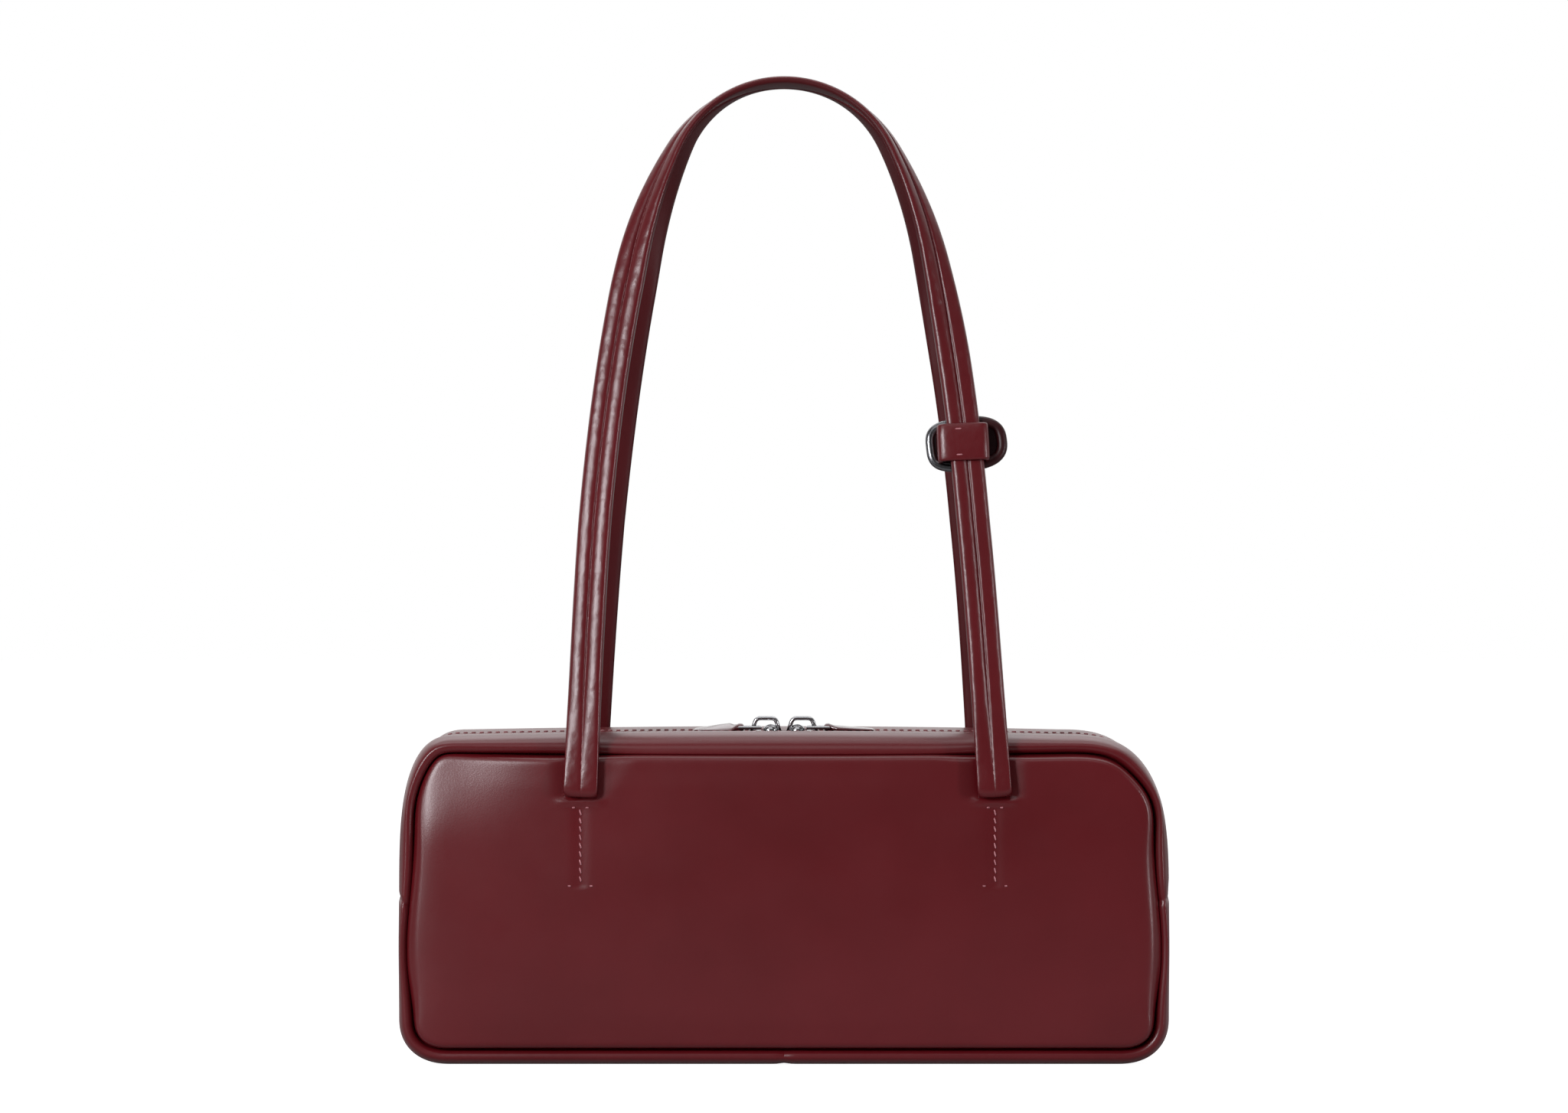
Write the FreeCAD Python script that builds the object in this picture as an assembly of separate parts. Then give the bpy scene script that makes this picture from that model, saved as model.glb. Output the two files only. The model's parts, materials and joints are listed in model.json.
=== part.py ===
import FreeCAD
import Part
import math
import os

# Baguette shoulder bag: a long zipped leather body, two standing strap handles, and a keeper on one of them.
# Millimetres. +X is right as seen from the front, -Y is the front, +Z is up.
# The origin is the middle of the base, on the surface that the bag stands on.

Vector = FreeCAD.Vector

# Body
BODY_LENGTH = 300.0
BODY_HEIGHT = 128.5
BODY_DEPTH = 80.0
LEATHER = 2.0
GUSSET_ROLL = 7.0
PANEL_ROLL = 6.0
PANEL_RIM = 0.5
TOP_CORNER = 25.0
BASE_CORNER = 13.0
SIDE_SEAM_HEIGHT = 65.8
WELT = 2.6
STIFFENER = 1.4
BASE_BOARD = 1.8
BASE_BOARD_MARGIN = 3.0
LINING = 0.6
LINING_DROP = 9.0

# Mouth and zip
MOUTH_LENGTH = 192.0
MOUTH_GAP = 0.8
ZIP_WINDOW = 11.0
TAPE = 0.6
TAPE_WIDTH = 11.0
TOOTH_PITCH = 3.0
TOOTH_LENGTH = 1.3
TOOTH_NECK = 0.9
TOOTH_HEIGHT = 2.4
TOOTH_ROOT = 3.4
TOOTH_REACH = 0.9

# Sliders and pulls
SLIDER_SPACING = 14.4
SLIDER_LENGTH = 10.6
SLIDER_WIDTH = 9.0
SLIDER_TAIL_WIDTH = 8.6
SLIDER_PLATE = 1.0
SLIDER_LIP = 0.8
SLIDER_CORNER = 1.6
SLIDER_GAP = 0.3
WEDGE_WIDTH = 2.0
WEDGE_LENGTH = 2.6
WEDGE_SETBACK = 1.0
BRIDGE_HEIGHT = 5.8
BRIDGE_TOP_LENGTH = 7.4
BRIDGE_BAR = 1.4
BRIDGE_WIDTH = 2.6
BRIDGE_CORNER = 2.2
LINK_ROD = 1.4
LINK_LENGTH = 8.0
LINK_WIDTH = 8.6
LINK_LIFT = 1.3
TAB_LENGTH = 18.0
TAB_WIDTH = 8.0
TAB_THICKNESS = 2.0
TAB_CORNER = 1.6

# Handles
HANDLE_SPREAD = 160.0
HANDLE_BASE_HEIGHT = 103.0
HANDLE_TOP_HEIGHT = 387.0
HANDLE_TOP_GAP = 2.0
STRAP_WIDTH = 13.0
STRAP_THICKNESS = 4.0
STRAP_EDGE = 1.8
STRAP_VALLEY_WIDTH = 3.0
STRAP_VALLEY_DEPTH = 0.5
STRAP_CLEAR = 0.3
LEG_LEAN = 3.2
SHOULDER_LEAN = 12.0
CROWN_LEAN = 28.0
SHOULDER_RADIUS = 172.0
CROWN_RADIUS = 47.0
CROWN_STEPS = 7
SHOULDER_STEPS = 3
LEG_STEPS = 6
LEFT_TWIST_START = 180.0
RIGHT_TWIST_START = 178.0
TAIL_THICKNESS = 3.0
TAIL_LENGTH = 34.0
TAIL_BEND = 2.7
SLIT_GAP = 0.2
PATCH_WIDTH = 22.0
PATCH_MARGIN = 5.0
PATCH_THICKNESS = 1.0

# Keeper
KEEPER_HEIGHT = 242.0
KEEPER_BAND_HEIGHT = 14.6
KEEPER_BAND_WIDTH = 20.0
KEEPER_BAND = 1.8
KEEPER_BEND = 2.8
KEEPER_GAP = 0.5
RING_WIDTH = 31.6
RING_HEIGHT = 21.0
RING_BAR = 2.8
RING_THICKNESS = 2.4
RING_EDGE = 0.7
RING_CORNER = 5.0
RING_NOSE = 9.0
RING_OFFSET = 1.4

# Seam lines and places that follow from the sizes above
SEAM_X = BODY_LENGTH / 2 - GUSSET_ROLL
SEAM_Y = BODY_DEPTH / 2 - PANEL_ROLL
SEAM_TOP = BODY_HEIGHT - GUSSET_ROLL
SEAM_BASE = GUSSET_ROLL
TOP_CENTRE_X = SEAM_X - TOP_CORNER
TOP_CENTRE_Z = SEAM_TOP - TOP_CORNER
BASE_CENTRE_X = SEAM_X - BASE_CORNER
BASE_CENTRE_Z = SEAM_BASE + BASE_CORNER
PANEL_BACK = BODY_DEPTH / 2 - LEATHER
MOUTH_END = MOUTH_LENGTH / 2
MOUTH_HINGE_Y = SEAM_Y - MOUTH_GAP - LEATHER / 2
TAPE_TOP = GUSSET_ROLL - LEATHER
CHAIN_MIDDLE = TAPE_TOP - TAPE / 2
CHAIN_Z = SEAM_TOP + CHAIN_MIDDLE
SLIDER_X = SLIDER_SPACING / 2
SLIDER_TOP = CHAIN_Z + TOOTH_HEIGHT / 2 + SLIDER_GAP + SLIDER_PLATE
WEDGE_X = SLIDER_LENGTH / 2 - WEDGE_SETBACK - WEDGE_LENGTH / 2
SLIDER_TRAVEL = MOUTH_END + WEDGE_LENGTH / 2 + SLIDER_GAP + WEDGE_X - SLIDER_X
HANDLE_RISE = HANDLE_TOP_HEIGHT - STRAP_THICKNESS / 2 - HANDLE_BASE_HEIGHT
FLAT_ABOVE_SLIT = SEAM_TOP - PANEL_ROLL - HANDLE_BASE_HEIGHT
STRAP_OFF_PANEL = STRAP_CLEAR + FLAT_ABOVE_SLIT * BODY_DEPTH / 2 / HANDLE_RISE
HANDLE_Y = BODY_DEPTH / 2 + STRAP_OFF_PANEL + STRAP_THICKNESS / 2
HANDLE_RECLINE = math.degrees(math.atan2(HANDLE_Y - STRAP_WIDTH / 2 - HANDLE_TOP_GAP / 2, HANDLE_RISE))
HANDLE_LENGTH = HANDLE_RISE / math.cos(math.radians(HANDLE_RECLINE))


def wire(start, *steps):
    """A wire from start; a step is the end of a line, or a pair: a point on an arc and the arc's end."""
    edges = []
    here = start
    for step in steps:
        if isinstance(step, tuple):
            edges.append(Part.Arc(here, step[0], step[1]).toShape())
            here = step[1]
        else:
            edges.append(Part.LineSegment(here, step).toShape())
            here = step
    return Part.Wire(edges)


def rounded_box(half_x, low, high, low_radius, high_radius):
    """A rounded rectangle in the XZ plane, upright, with one radius below and another above."""
    edges = []
    corners = [(1, high, high_radius, 0), (1, low, low_radius, 90), (-1, low, low_radius, 180),
               (-1, high, high_radius, 270)]
    points = []
    for side, z, radius, turn in corners:
        centre = Vector(side * (half_x - radius), 0, z + (radius if z == low else -radius))
        arc = []
        for angle in (turn, turn + 45, turn + 90):
            radians = math.radians(angle)
            arc.append(centre + Vector(math.sin(radians), 0, math.cos(radians)) * radius)
        points.append(arc)
    for index, arc in enumerate(points):
        edges.append(Part.LineSegment(points[index - 1][2], arc[0]).toShape())
        edges.append(Part.Arc(*arc).toShape())
    return Part.Face(Part.Wire(edges))


def seam_outline(inset):
    """The seam's outline in the XZ plane, drawn in by inset."""
    return rounded_box(SEAM_X - inset, SEAM_BASE + inset, SEAM_TOP - inset,
                       BASE_CORNER - inset, TOP_CORNER - inset)


def rear(shape):
    return shape.mirror(Vector(0, 0, 0), Vector(0, 1, 0))


def left(shape):
    return shape.mirror(Vector(0, 0, 0), Vector(1, 0, 0))


def moved(shape, x, y, z):
    copy = shape.copy()
    copy.translate(Vector(x, y, z))
    return copy


def box(x_low, x_high, y_low, y_high, z_low, z_high):
    return Part.makeBox(x_high - x_low, y_high - y_low, z_high - z_low, Vector(x_low, y_low, z_low))


def joined(first, *others):
    return first.multiFuse(list(others)).removeSplitter()


def upright_edges(shape):
    """The straight edges that run along Z, in a plate with flat top and base."""
    return [edge for edge in shape.Edges if edge.BoundBox.ZLength > shape.BoundBox.ZLength / 2]


# Gusset: one section swept round the seam. A section lies in the YZ plane, its z counted out from the seam.


def roll_point(seam_y, radius, angle):
    """A point on the front rolled rim: angle 0 is at the seam, 90 is where the roll meets the flat."""
    radians = math.radians(angle)
    return Vector(0, GUSSET_ROLL - seam_y - radius * math.cos(radians), radius * math.sin(radians))


def across(point):
    return Vector(point.x, -point.y, point.z)


def roll_arc(seam_y, radius):
    return [roll_point(seam_y, radius, angle) for angle in (0, 45, 90)]


def base_section():
    outer = roll_arc(SEAM_Y, GUSSET_ROLL)
    inner = roll_arc(SEAM_Y, GUSSET_ROLL - LEATHER)
    return Part.Face(wire(
        outer[0], (outer[1], outer[2]), across(outer[2]), (across(outer[1]), across(outer[0])),
        across(inner[0]), across(inner[1]), across(inner[2]), inner[2], inner[1], inner[0], outer[0]))


def strip_section(seam_y, hinged):
    """The front half of the zip gusset, from the seam to the zip window; a hinged edge is a half round."""
    outer = roll_arc(seam_y, GUSSET_ROLL)
    inner = roll_arc(seam_y, GUSSET_ROLL - LEATHER)
    edge = -ZIP_WINDOW / 2
    closing = outer[0]
    if hinged:
        closing = (Vector(0, LEATHER / 2 - seam_y, -LEATHER / 2), outer[0])
    return Part.Face(wire(
        outer[0], (outer[1], outer[2]), Vector(0, edge, GUSSET_ROLL), Vector(0, edge, GUSSET_ROLL - LEATHER),
        inner[2], inner[1], inner[0], closing))


def tape_section():
    inner = -TOOTH_ROOT
    outer = inner - TAPE_WIDTH
    low = TAPE_TOP - TAPE
    return Part.Face(wire(Vector(0, outer, low), Vector(0, inner, low), Vector(0, inner, TAPE_TOP),
                          Vector(0, outer, TAPE_TOP), Vector(0, outer, low)))


def lining_section():
    half = SEAM_Y - GUSSET_ROLL
    high = GUSSET_ROLL - LEATHER - BASE_BOARD
    low = high - LINING
    return Part.Face(wire(Vector(0, -half, low), Vector(0, half, low), Vector(0, half, high),
                          Vector(0, -half, high), Vector(0, -half, low)))


def turned(section, x, z, turn):
    """A section stood on the seam at x, z, its outward side turned from +Z towards +X."""
    placed = section.copy()
    placed.rotate(Vector(0, 0, 0), Vector(0, 1, 0), turn)
    placed.translate(Vector(x, 0, z))
    return placed


def upper_run(section, start_x):
    """Along the top from start_x, round the top right corner and down to the side seam."""
    top = turned(section, start_x, SEAM_TOP, 0).extrude(Vector(TOP_CENTRE_X - start_x, 0, 0))
    corner = turned(section, TOP_CENTRE_X, SEAM_TOP, 0)
    corner = corner.revolve(Vector(TOP_CENTRE_X, 0, TOP_CENTRE_Z), Vector(0, 1, 0), 90)
    side = turned(section, SEAM_X, TOP_CENTRE_Z, 90).extrude(Vector(0, 0, SIDE_SEAM_HEIGHT - TOP_CENTRE_Z))
    return joined(top, corner, side)


def lower_run(section, start_z):
    """Down the right side from start_z, round the base corner and along the base to its middle."""
    side = turned(section, SEAM_X, start_z, 90).extrude(Vector(0, 0, BASE_CENTRE_Z - start_z))
    corner = turned(section, SEAM_X, BASE_CENTRE_Z, 90)
    corner = corner.revolve(Vector(BASE_CENTRE_X, 0, BASE_CENTRE_Z), Vector(0, 1, 0), 90)
    base = turned(section, BASE_CENTRE_X, SEAM_BASE, 180).extrude(Vector(-BASE_CENTRE_X, 0, 0))
    return joined(side, corner, base)


def along_mouth(section):
    return turned(section, -MOUTH_END, SEAM_TOP, 0).extrude(Vector(MOUTH_LENGTH, 0, 0))


# Panels, with what is sewn and glued behind them


def plate(inset, face_y):
    """A plate from the seam plane forward to face_y, with the edges of its front face."""
    body = moved(seam_outline(inset), 0, -SEAM_Y, 0).extrude(Vector(0, SEAM_Y - face_y, 0))
    return body, [edge for edge in body.Edges if edge.BoundBox.YMax < -face_y + PANEL_RIM / 2]


def handle_slot(gap):
    """The two slits that the strap tails pass through, one for each end of a handle."""
    half_width = STRAP_WIDTH / 2 + gap
    half_height = TAIL_THICKNESS / 2 + gap
    slit = box(-half_width, half_width, -BODY_DEPTH, -SEAM_Y, -half_height, half_height)
    centre = HANDLE_SPREAD / 2
    return [moved(slit, side * centre, 0, HANDLE_BASE_HEIGHT) for side in (-1, 1)]


def panel():
    """Leather rolled back to the seam all round: rounded outside, creased inside, with two slits."""
    edge_radius = PANEL_ROLL - PANEL_RIM
    outer, outer_edges = plate(0, BODY_DEPTH / 2)
    inner, inner_edges = plate(LEATHER, PANEL_BACK)
    hollow = inner.makeChamfer(edge_radius - LEATHER, inner_edges)
    return outer.makeFillet(edge_radius, outer_edges).cut([hollow] + handle_slot(SLIT_GAP))


def welt():
    """The cord that the panel and the gusset are sewn to, grooved where the mouth strip folds."""
    ring = seam_outline(0).cut(seam_outline(WELT))
    ring = moved(ring, 0, -SEAM_Y, 0).extrude(Vector(0, WELT, 0))
    reach = MOUTH_END + MOUTH_GAP
    groove = Part.makeCylinder(LEATHER / 2 + MOUTH_GAP + SLIT_GAP, 2 * reach,
                               Vector(-reach, -MOUTH_HINGE_Y, SEAM_TOP), Vector(1, 0, 0))
    return ring.cut(groove)


def tail_low():
    return HANDLE_BASE_HEIGHT - TAIL_LENGTH


def tail_window():
    """The places behind the panel that the strap tails and their patches take, as two boxes."""
    half = PATCH_WIDTH / 2 + SLIT_GAP
    low = tail_low() - PATCH_MARGIN - SLIT_GAP
    high = HANDLE_BASE_HEIGHT + TAIL_THICKNESS / 2 + SLIT_GAP
    centre = HANDLE_SPREAD / 2
    return [box(side * centre - half, side * centre + half, -BODY_DEPTH, 0, low, high) for side in (-1, 1)]


def stiffener():
    sheet = moved(seam_outline(PANEL_ROLL), 0, -PANEL_BACK, 0).extrude(Vector(0, STIFFENER, 0))
    return sheet.cut(tail_window())


def strap_tail():
    """The right tail: in through the slit, then down behind the panel."""
    lean_in = TAIL_THICKNESS / 2 * math.tan(math.radians(HANDLE_RECLINE))
    outside = STRAP_THICKNESS / 2 + STRAP_CLEAR + lean_in - HANDLE_Y
    inside = TAIL_THICKNESS - PANEL_BACK
    high = HANDLE_BASE_HEIGHT + TAIL_THICKNESS / 2
    low = HANDLE_BASE_HEIGHT - TAIL_THICKNESS / 2
    bend_middle = TAIL_BEND * (1 - math.sqrt(0.5))
    profile = Part.Face(wire(
        Vector(0, outside, high), Vector(0, outside, low), Vector(0, -PANEL_BACK, low),
        Vector(0, -PANEL_BACK, tail_low()), Vector(0, inside, tail_low()), Vector(0, inside, high - TAIL_BEND),
        (Vector(0, inside - bend_middle, high - bend_middle), Vector(0, inside - TAIL_BEND, high)),
        Vector(0, outside, high)))
    profile = moved(profile, HANDLE_SPREAD / 2 - STRAP_WIDTH / 2, 0, 0)
    return profile.extrude(Vector(STRAP_WIDTH, 0, 0))


def tail_patch():
    inside = TAIL_THICKNESS - PANEL_BACK
    centre = HANDLE_SPREAD / 2
    high = HANDLE_BASE_HEIGHT - TAIL_THICKNESS
    patch = box(centre - PATCH_WIDTH / 2, centre + PATCH_WIDTH / 2, inside, inside + PATCH_THICKNESS,
                tail_low() - PATCH_MARGIN, high)
    through = [edge for edge in patch.Edges if edge.BoundBox.YLength > PATCH_THICKNESS / 2]
    return patch.makeChamfer(PATCH_MARGIN / 2, through)


def panel_lining():
    """The lining behind a panel, lying on the patches; it ends below the mouth."""
    front = TAIL_THICKNESS + PATCH_THICKNESS - PANEL_BACK
    sheet = moved(seam_outline(WELT + SLIT_GAP), 0, front, 0).extrude(Vector(0, LINING, 0))
    return sheet.cut(box(-BODY_LENGTH, BODY_LENGTH, -BODY_DEPTH, 0, SEAM_TOP - LINING_DROP, BODY_HEIGHT))


def base_board():
    half_x = BASE_CENTRE_X - BASE_BOARD_MARGIN
    half_y = SEAM_Y - GUSSET_ROLL
    board = box(-half_x, half_x, -half_y, half_y, LEATHER, LEATHER + BASE_BOARD)
    return board.makeFillet(BASE_BOARD_MARGIN, upright_edges(board))


def gusset_lining():
    half = lower_run(lining_section(), SIDE_SEAM_HEIGHT)
    return joined(half, left(half))


# Zip chain


def tooth():
    """One front tooth at the middle of the zip, its head pointing back across the middle line."""
    head = TOOTH_LENGTH / 2
    neck = TOOTH_NECK / 2
    low = CHAIN_MIDDLE - TOOTH_HEIGHT / 2
    outline = [Vector(-head, -TOOTH_ROOT, low), Vector(head, -TOOTH_ROOT, low), Vector(neck, -TOOTH_REACH, low),
               Vector(head, 0, low), Vector(neck, TOOTH_REACH, low), Vector(-neck, TOOTH_REACH, low),
               Vector(-head, 0, low), Vector(-neck, -TOOTH_REACH, low)]
    return Part.Face(Part.makePolygon(outline + outline[:1])).extrude(Vector(0, 0, TOOTH_HEIGHT))


def spaced(start, end, shift):
    """Tooth places from start to end on one pitch, shifted by half of it for the row that meshes."""
    first = math.ceil((start + TOOTH_LENGTH / 2) / TOOTH_PITCH - shift)
    last = math.floor((end - TOOTH_LENGTH / 2) / TOOTH_PITCH - shift)
    return [(index + shift) * TOOTH_PITCH for index in range(first, last + 1)]


def mouth_teeth(row, shift):
    """The row over the mouth; it parts round the sliders' wedges at the middle."""
    parted = SLIDER_X - WEDGE_X + WEDGE_LENGTH / 2 + SLIDER_GAP
    places = spaced(-MOUTH_END, -parted, shift) + spaced(parted, MOUTH_END, shift)
    return Part.makeCompound([turned(row, x, SEAM_TOP, 0) for x in places])


def end_teeth(row, shift):
    """The row past the right end of the mouth, round the corner and down to the side seam."""
    bend_length = (TOP_CORNER + CHAIN_MIDDLE) * math.pi / 2
    start = MOUTH_END + WEDGE_LENGTH + 2 * SLIDER_GAP
    end = TOP_CENTRE_X + bend_length + TOP_CENTRE_Z - SIDE_SEAM_HEIGHT
    teeth = []
    for place in spaced(start, end, shift):
        past = place - TOP_CENTRE_X
        if past <= 0:
            teeth.append(turned(row, place, SEAM_TOP, 0))
        elif past < bend_length:
            angle = 90 * past / bend_length
            radians = math.radians(angle)
            x = TOP_CENTRE_X + TOP_CORNER * math.sin(radians)
            teeth.append(turned(row, x, TOP_CENTRE_Z + TOP_CORNER * math.cos(radians), angle))
        else:
            teeth.append(turned(row, SEAM_X, TOP_CENTRE_Z + bend_length - past, 90))
    return teeth


# Sliders and pulls, built for the right side with the head towards the middle


def slider_plate(z_low, thickness):
    """A plate in plan: wide at the head, drawn in to the tail, with rounded corners."""
    half = SLIDER_LENGTH / 2
    outline = [Vector(-half, -SLIDER_WIDTH / 2, z_low), Vector(half, -SLIDER_TAIL_WIDTH / 2, z_low),
               Vector(half, SLIDER_TAIL_WIDTH / 2, z_low), Vector(-half, SLIDER_WIDTH / 2, z_low)]
    plate = Part.Face(Part.makePolygon(outline + outline[:1])).extrude(Vector(0, 0, thickness))
    return plate.makeFillet(SLIDER_CORNER, upright_edges(plate))


def slider():
    """Two plates held apart by the wedge, with lips that close on the tape from above and below."""
    tooth_gap = TOOTH_HEIGHT / 2 + SLIDER_GAP
    tape_gap = TAPE / 2 + SLIDER_GAP
    channel = box(-SLIDER_LENGTH, SLIDER_LENGTH, SLIDER_LIP - SLIDER_TAIL_WIDTH / 2,
                  SLIDER_TAIL_WIDTH / 2 - SLIDER_LIP, -tooth_gap, tooth_gap)
    slot = box(-SLIDER_LENGTH, SLIDER_LENGTH, -SLIDER_WIDTH, SLIDER_WIDTH, -tape_gap, tape_gap)
    block = slider_plate(-tooth_gap - SLIDER_PLATE, 2 * (tooth_gap + SLIDER_PLATE)).cut([channel, slot])
    wedge_outline = [Vector(-WEDGE_LENGTH / 2, 0, -tooth_gap), Vector(0, -WEDGE_WIDTH / 2, -tooth_gap),
                     Vector(WEDGE_LENGTH / 2, 0, -tooth_gap), Vector(0, WEDGE_WIDTH / 2, -tooth_gap)]
    wedge = Part.Face(Part.makePolygon(wedge_outline + wedge_outline[:1])).extrude(Vector(0, 0, 2 * tooth_gap))
    return moved(joined(block, moved(wedge, -WEDGE_X, 0, 0)), SLIDER_X, 0, CHAIN_Z)


def bridge_outline(inset):
    """The bridge's side outline, drawn in by inset on its legs and top."""
    slope = (SLIDER_LENGTH - BRIDGE_TOP_LENGTH) / 2 / BRIDGE_HEIGHT
    along_leg = inset * math.sqrt(1 + slope ** 2)
    base = SLIDER_LENGTH / 2 - along_leg
    high = BRIDGE_HEIGHT - inset
    top = base - slope * high
    outline = [Vector(-base, 0, 0), Vector(base, 0, 0), Vector(top, 0, high), Vector(-top, 0, high)]
    return Part.Face(Part.makePolygon(outline + outline[:1]))


def bridge():
    """A flat bar bent up over the slider, rounded where it turns."""
    rounded = []
    for inset in (0, BRIDGE_BAR):
        block = bridge_outline(inset).extrude(Vector(0, BRIDGE_WIDTH, 0))
        turns = [edge for edge in block.Edges if edge.BoundBox.ZMin > BRIDGE_HEIGHT / 2
                 and edge.BoundBox.YLength > BRIDGE_WIDTH / 2]
        rounded.append(block.makeFillet(BRIDGE_CORNER - inset / 2, turns))
    return moved(rounded[0].cut(rounded[1]), SLIDER_X, -BRIDGE_WIDTH / 2, SLIDER_TOP)


def link_pivot_x():
    """The rod's place inside the bridge: clear of the outer leg at the height that the rod has."""
    slope = (SLIDER_LENGTH - BRIDGE_TOP_LENGTH) / 2 / BRIDGE_HEIGHT
    leg = SLIDER_LENGTH / 2 - BRIDGE_BAR * math.sqrt(1 + slope ** 2) - slope * (LINK_LIFT + LINK_ROD / 2)
    return SLIDER_X + leg - SLIDER_GAP - LINK_ROD / 2


def link_pivot_z():
    return SLIDER_TOP + LINK_LIFT


def rod(x, radius, half_width):
    return Part.makeCylinder(radius, 2 * half_width, Vector(x, -half_width, 0), Vector(0, 1, 0))


def pull_link():
    """A wire loop: a rod through the bridge, two arms, and a rod that carries the tab."""
    middle = LINK_WIDTH / 2 - LINK_ROD / 2
    corners = [Vector(0, 0, 0), Vector(0, middle, 0), Vector(LINK_LENGTH, middle, 0),
               Vector(LINK_LENGTH, -middle, 0), Vector(0, -middle, 0)]
    section = Part.Wire(Part.makeCircle(LINK_ROD / 2, corners[0], Vector(0, 1, 0)))
    loop = Part.makePolygon(corners + corners[:1]).makePipeShell([section], True, False, 1)
    return moved(loop, link_pivot_x(), 0, link_pivot_z())


def pull_tab():
    """A leather tab folded round the link's outer rod, narrow between the arms and rounded at the end."""
    neck_half = LINK_WIDTH / 2 - LINK_ROD - SLIDER_GAP
    fold = LINK_ROD / 2 + SLIDER_GAP / 2 + TAB_THICKNESS / 2
    wide_start = LINK_ROD / 2 + 2 * SLIDER_GAP
    half_thick = TAB_THICKNESS / 2
    eye = rod(0, fold, neck_half)
    neck = box(0, wide_start + SLIDER_GAP, -neck_half, neck_half, -half_thick, half_thick)
    body = box(wide_start, TAB_LENGTH, -TAB_WIDTH / 2, TAB_WIDTH / 2, -half_thick, half_thick)
    body = body.makeFillet(TAB_CORNER, upright_edges(body))
    bore = rod(0, LINK_ROD / 2 + SLIDER_GAP / 2, TAB_WIDTH)
    tab = joined(eye, neck, body).cut(bore)
    return moved(tab, link_pivot_x() + LINK_LENGTH, 0, link_pivot_z())


# Handles: a strap on an arch of two arcs and a long leg each side, drawn in a plane and then leant back


def sine(degrees):
    return math.sin(math.radians(degrees))


def cosine(degrees):
    return math.cos(math.radians(degrees))


def arch_arcs():
    """The right half's crown and shoulder arcs, as (radius, lean at start, lean at end, x, z at the start).

    A lean is the angle between the path and the upright.
    """
    crown = (CROWN_RADIUS, 90.0, CROWN_LEAN, 0.0, HANDLE_LENGTH)
    shoulder = (SHOULDER_RADIUS, CROWN_LEAN, SHOULDER_LEAN, *arc_point(crown, CROWN_LEAN))
    return crown, shoulder


def arc_point(arc, lean):
    radius, start, _, x, z = arc
    return x + radius * (cosine(lean) - cosine(start)), z - radius * (sine(start) - sine(lean))


def leg_curve():
    """The right leg: one sweep from the shoulder's end to the slit, with the lean that each of them has."""
    x, z = arc_point(arch_arcs()[1], SHOULDER_LEAN)
    start, end = Vector(x, 0, z), Vector(HANDLE_SPREAD / 2, 0, 0)
    reach = (end - start).Length / 3
    curve = Part.BezierCurve()
    curve.setPoles([start, start + Vector(sine(SHOULDER_LEAN), 0, -cosine(SHOULDER_LEAN)) * reach,
                    end - Vector(sine(LEG_LEAN), 0, -cosine(LEG_LEAN)) * reach, end])
    return curve


def leg_station(curve, share):
    place = curve.value(share)
    along = curve.tangent(share)[0]
    return place.x, place.z, math.degrees(math.atan2(along.x, -along.z))


def half_arch():
    """Stations (x, z, lean) down the right half of the arch, from the crown to the base."""
    stations = []
    for arc, count in zip(arch_arcs(), (CROWN_STEPS, SHOULDER_STEPS)):
        for step in range(count):
            lean = arc[1] + (arc[2] - arc[1]) * step / count
            stations.append((*arc_point(arc, lean), lean))
    curve = leg_curve()
    return stations + [leg_station(curve, step / LEG_STEPS) for step in range(LEG_STEPS + 1)]


def twist(z, start):
    """The strap faces forward below start and turns to lie flat at the crown."""
    share = min(1.0, max(0.0, (z - start) / (HANDLE_LENGTH - start)))
    return -90.0 * share


def strap_outline(place, broad, thin):
    """The strap's section: rounded edges, and a shallow stitched valley down the grain face."""
    half_w = STRAP_WIDTH / 2
    half_t = STRAP_THICKNESS / 2
    flat_w = half_w - STRAP_EDGE
    flat_t = half_t - STRAP_EDGE
    bend = STRAP_EDGE * math.sqrt(0.5)
    edge = [(flat_w, half_t), (flat_w + bend, flat_t + bend), (half_w, flat_t)]
    below = [(half_w, -flat_t), (flat_w + bend, -flat_t - bend), (flat_w, -half_t)]
    right_side = [(0, half_t - STRAP_VALLEY_DEPTH), (STRAP_VALLEY_WIDTH / 2, half_t)] + edge + below
    left_side = [(-across_width, through) for across_width, through in right_side[:0:-1]]
    section = right_side + left_side
    points = [place + broad * across_width + thin * through for across_width, through in section]
    return Part.makePolygon(points + points[:1])


def strap_section(x, z, lean, side, twist_start):
    """The section at a station on the right (side 1) or left (side -1) of the arch, face forward along -Y."""
    outward = Vector(side * cosine(lean), 0, sine(lean))
    forward = Vector(0, -1, 0)
    angle = twist(z, twist_start)
    broad = outward * cosine(angle) + forward * sine(angle)
    thin = forward * cosine(angle) - outward * sine(angle)
    return strap_outline(Vector(side * x, 0, z), broad, thin)


def leant(shape):
    """An upright front handle shape, leant back about the hinge line at its base and put in its place."""
    placed = shape.copy()
    placed.rotate(Vector(0, 0, 0), Vector(1, 0, 0), -HANDLE_RECLINE)
    placed.translate(Vector(0, -HANDLE_Y, HANDLE_BASE_HEIGHT))
    return placed


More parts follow.
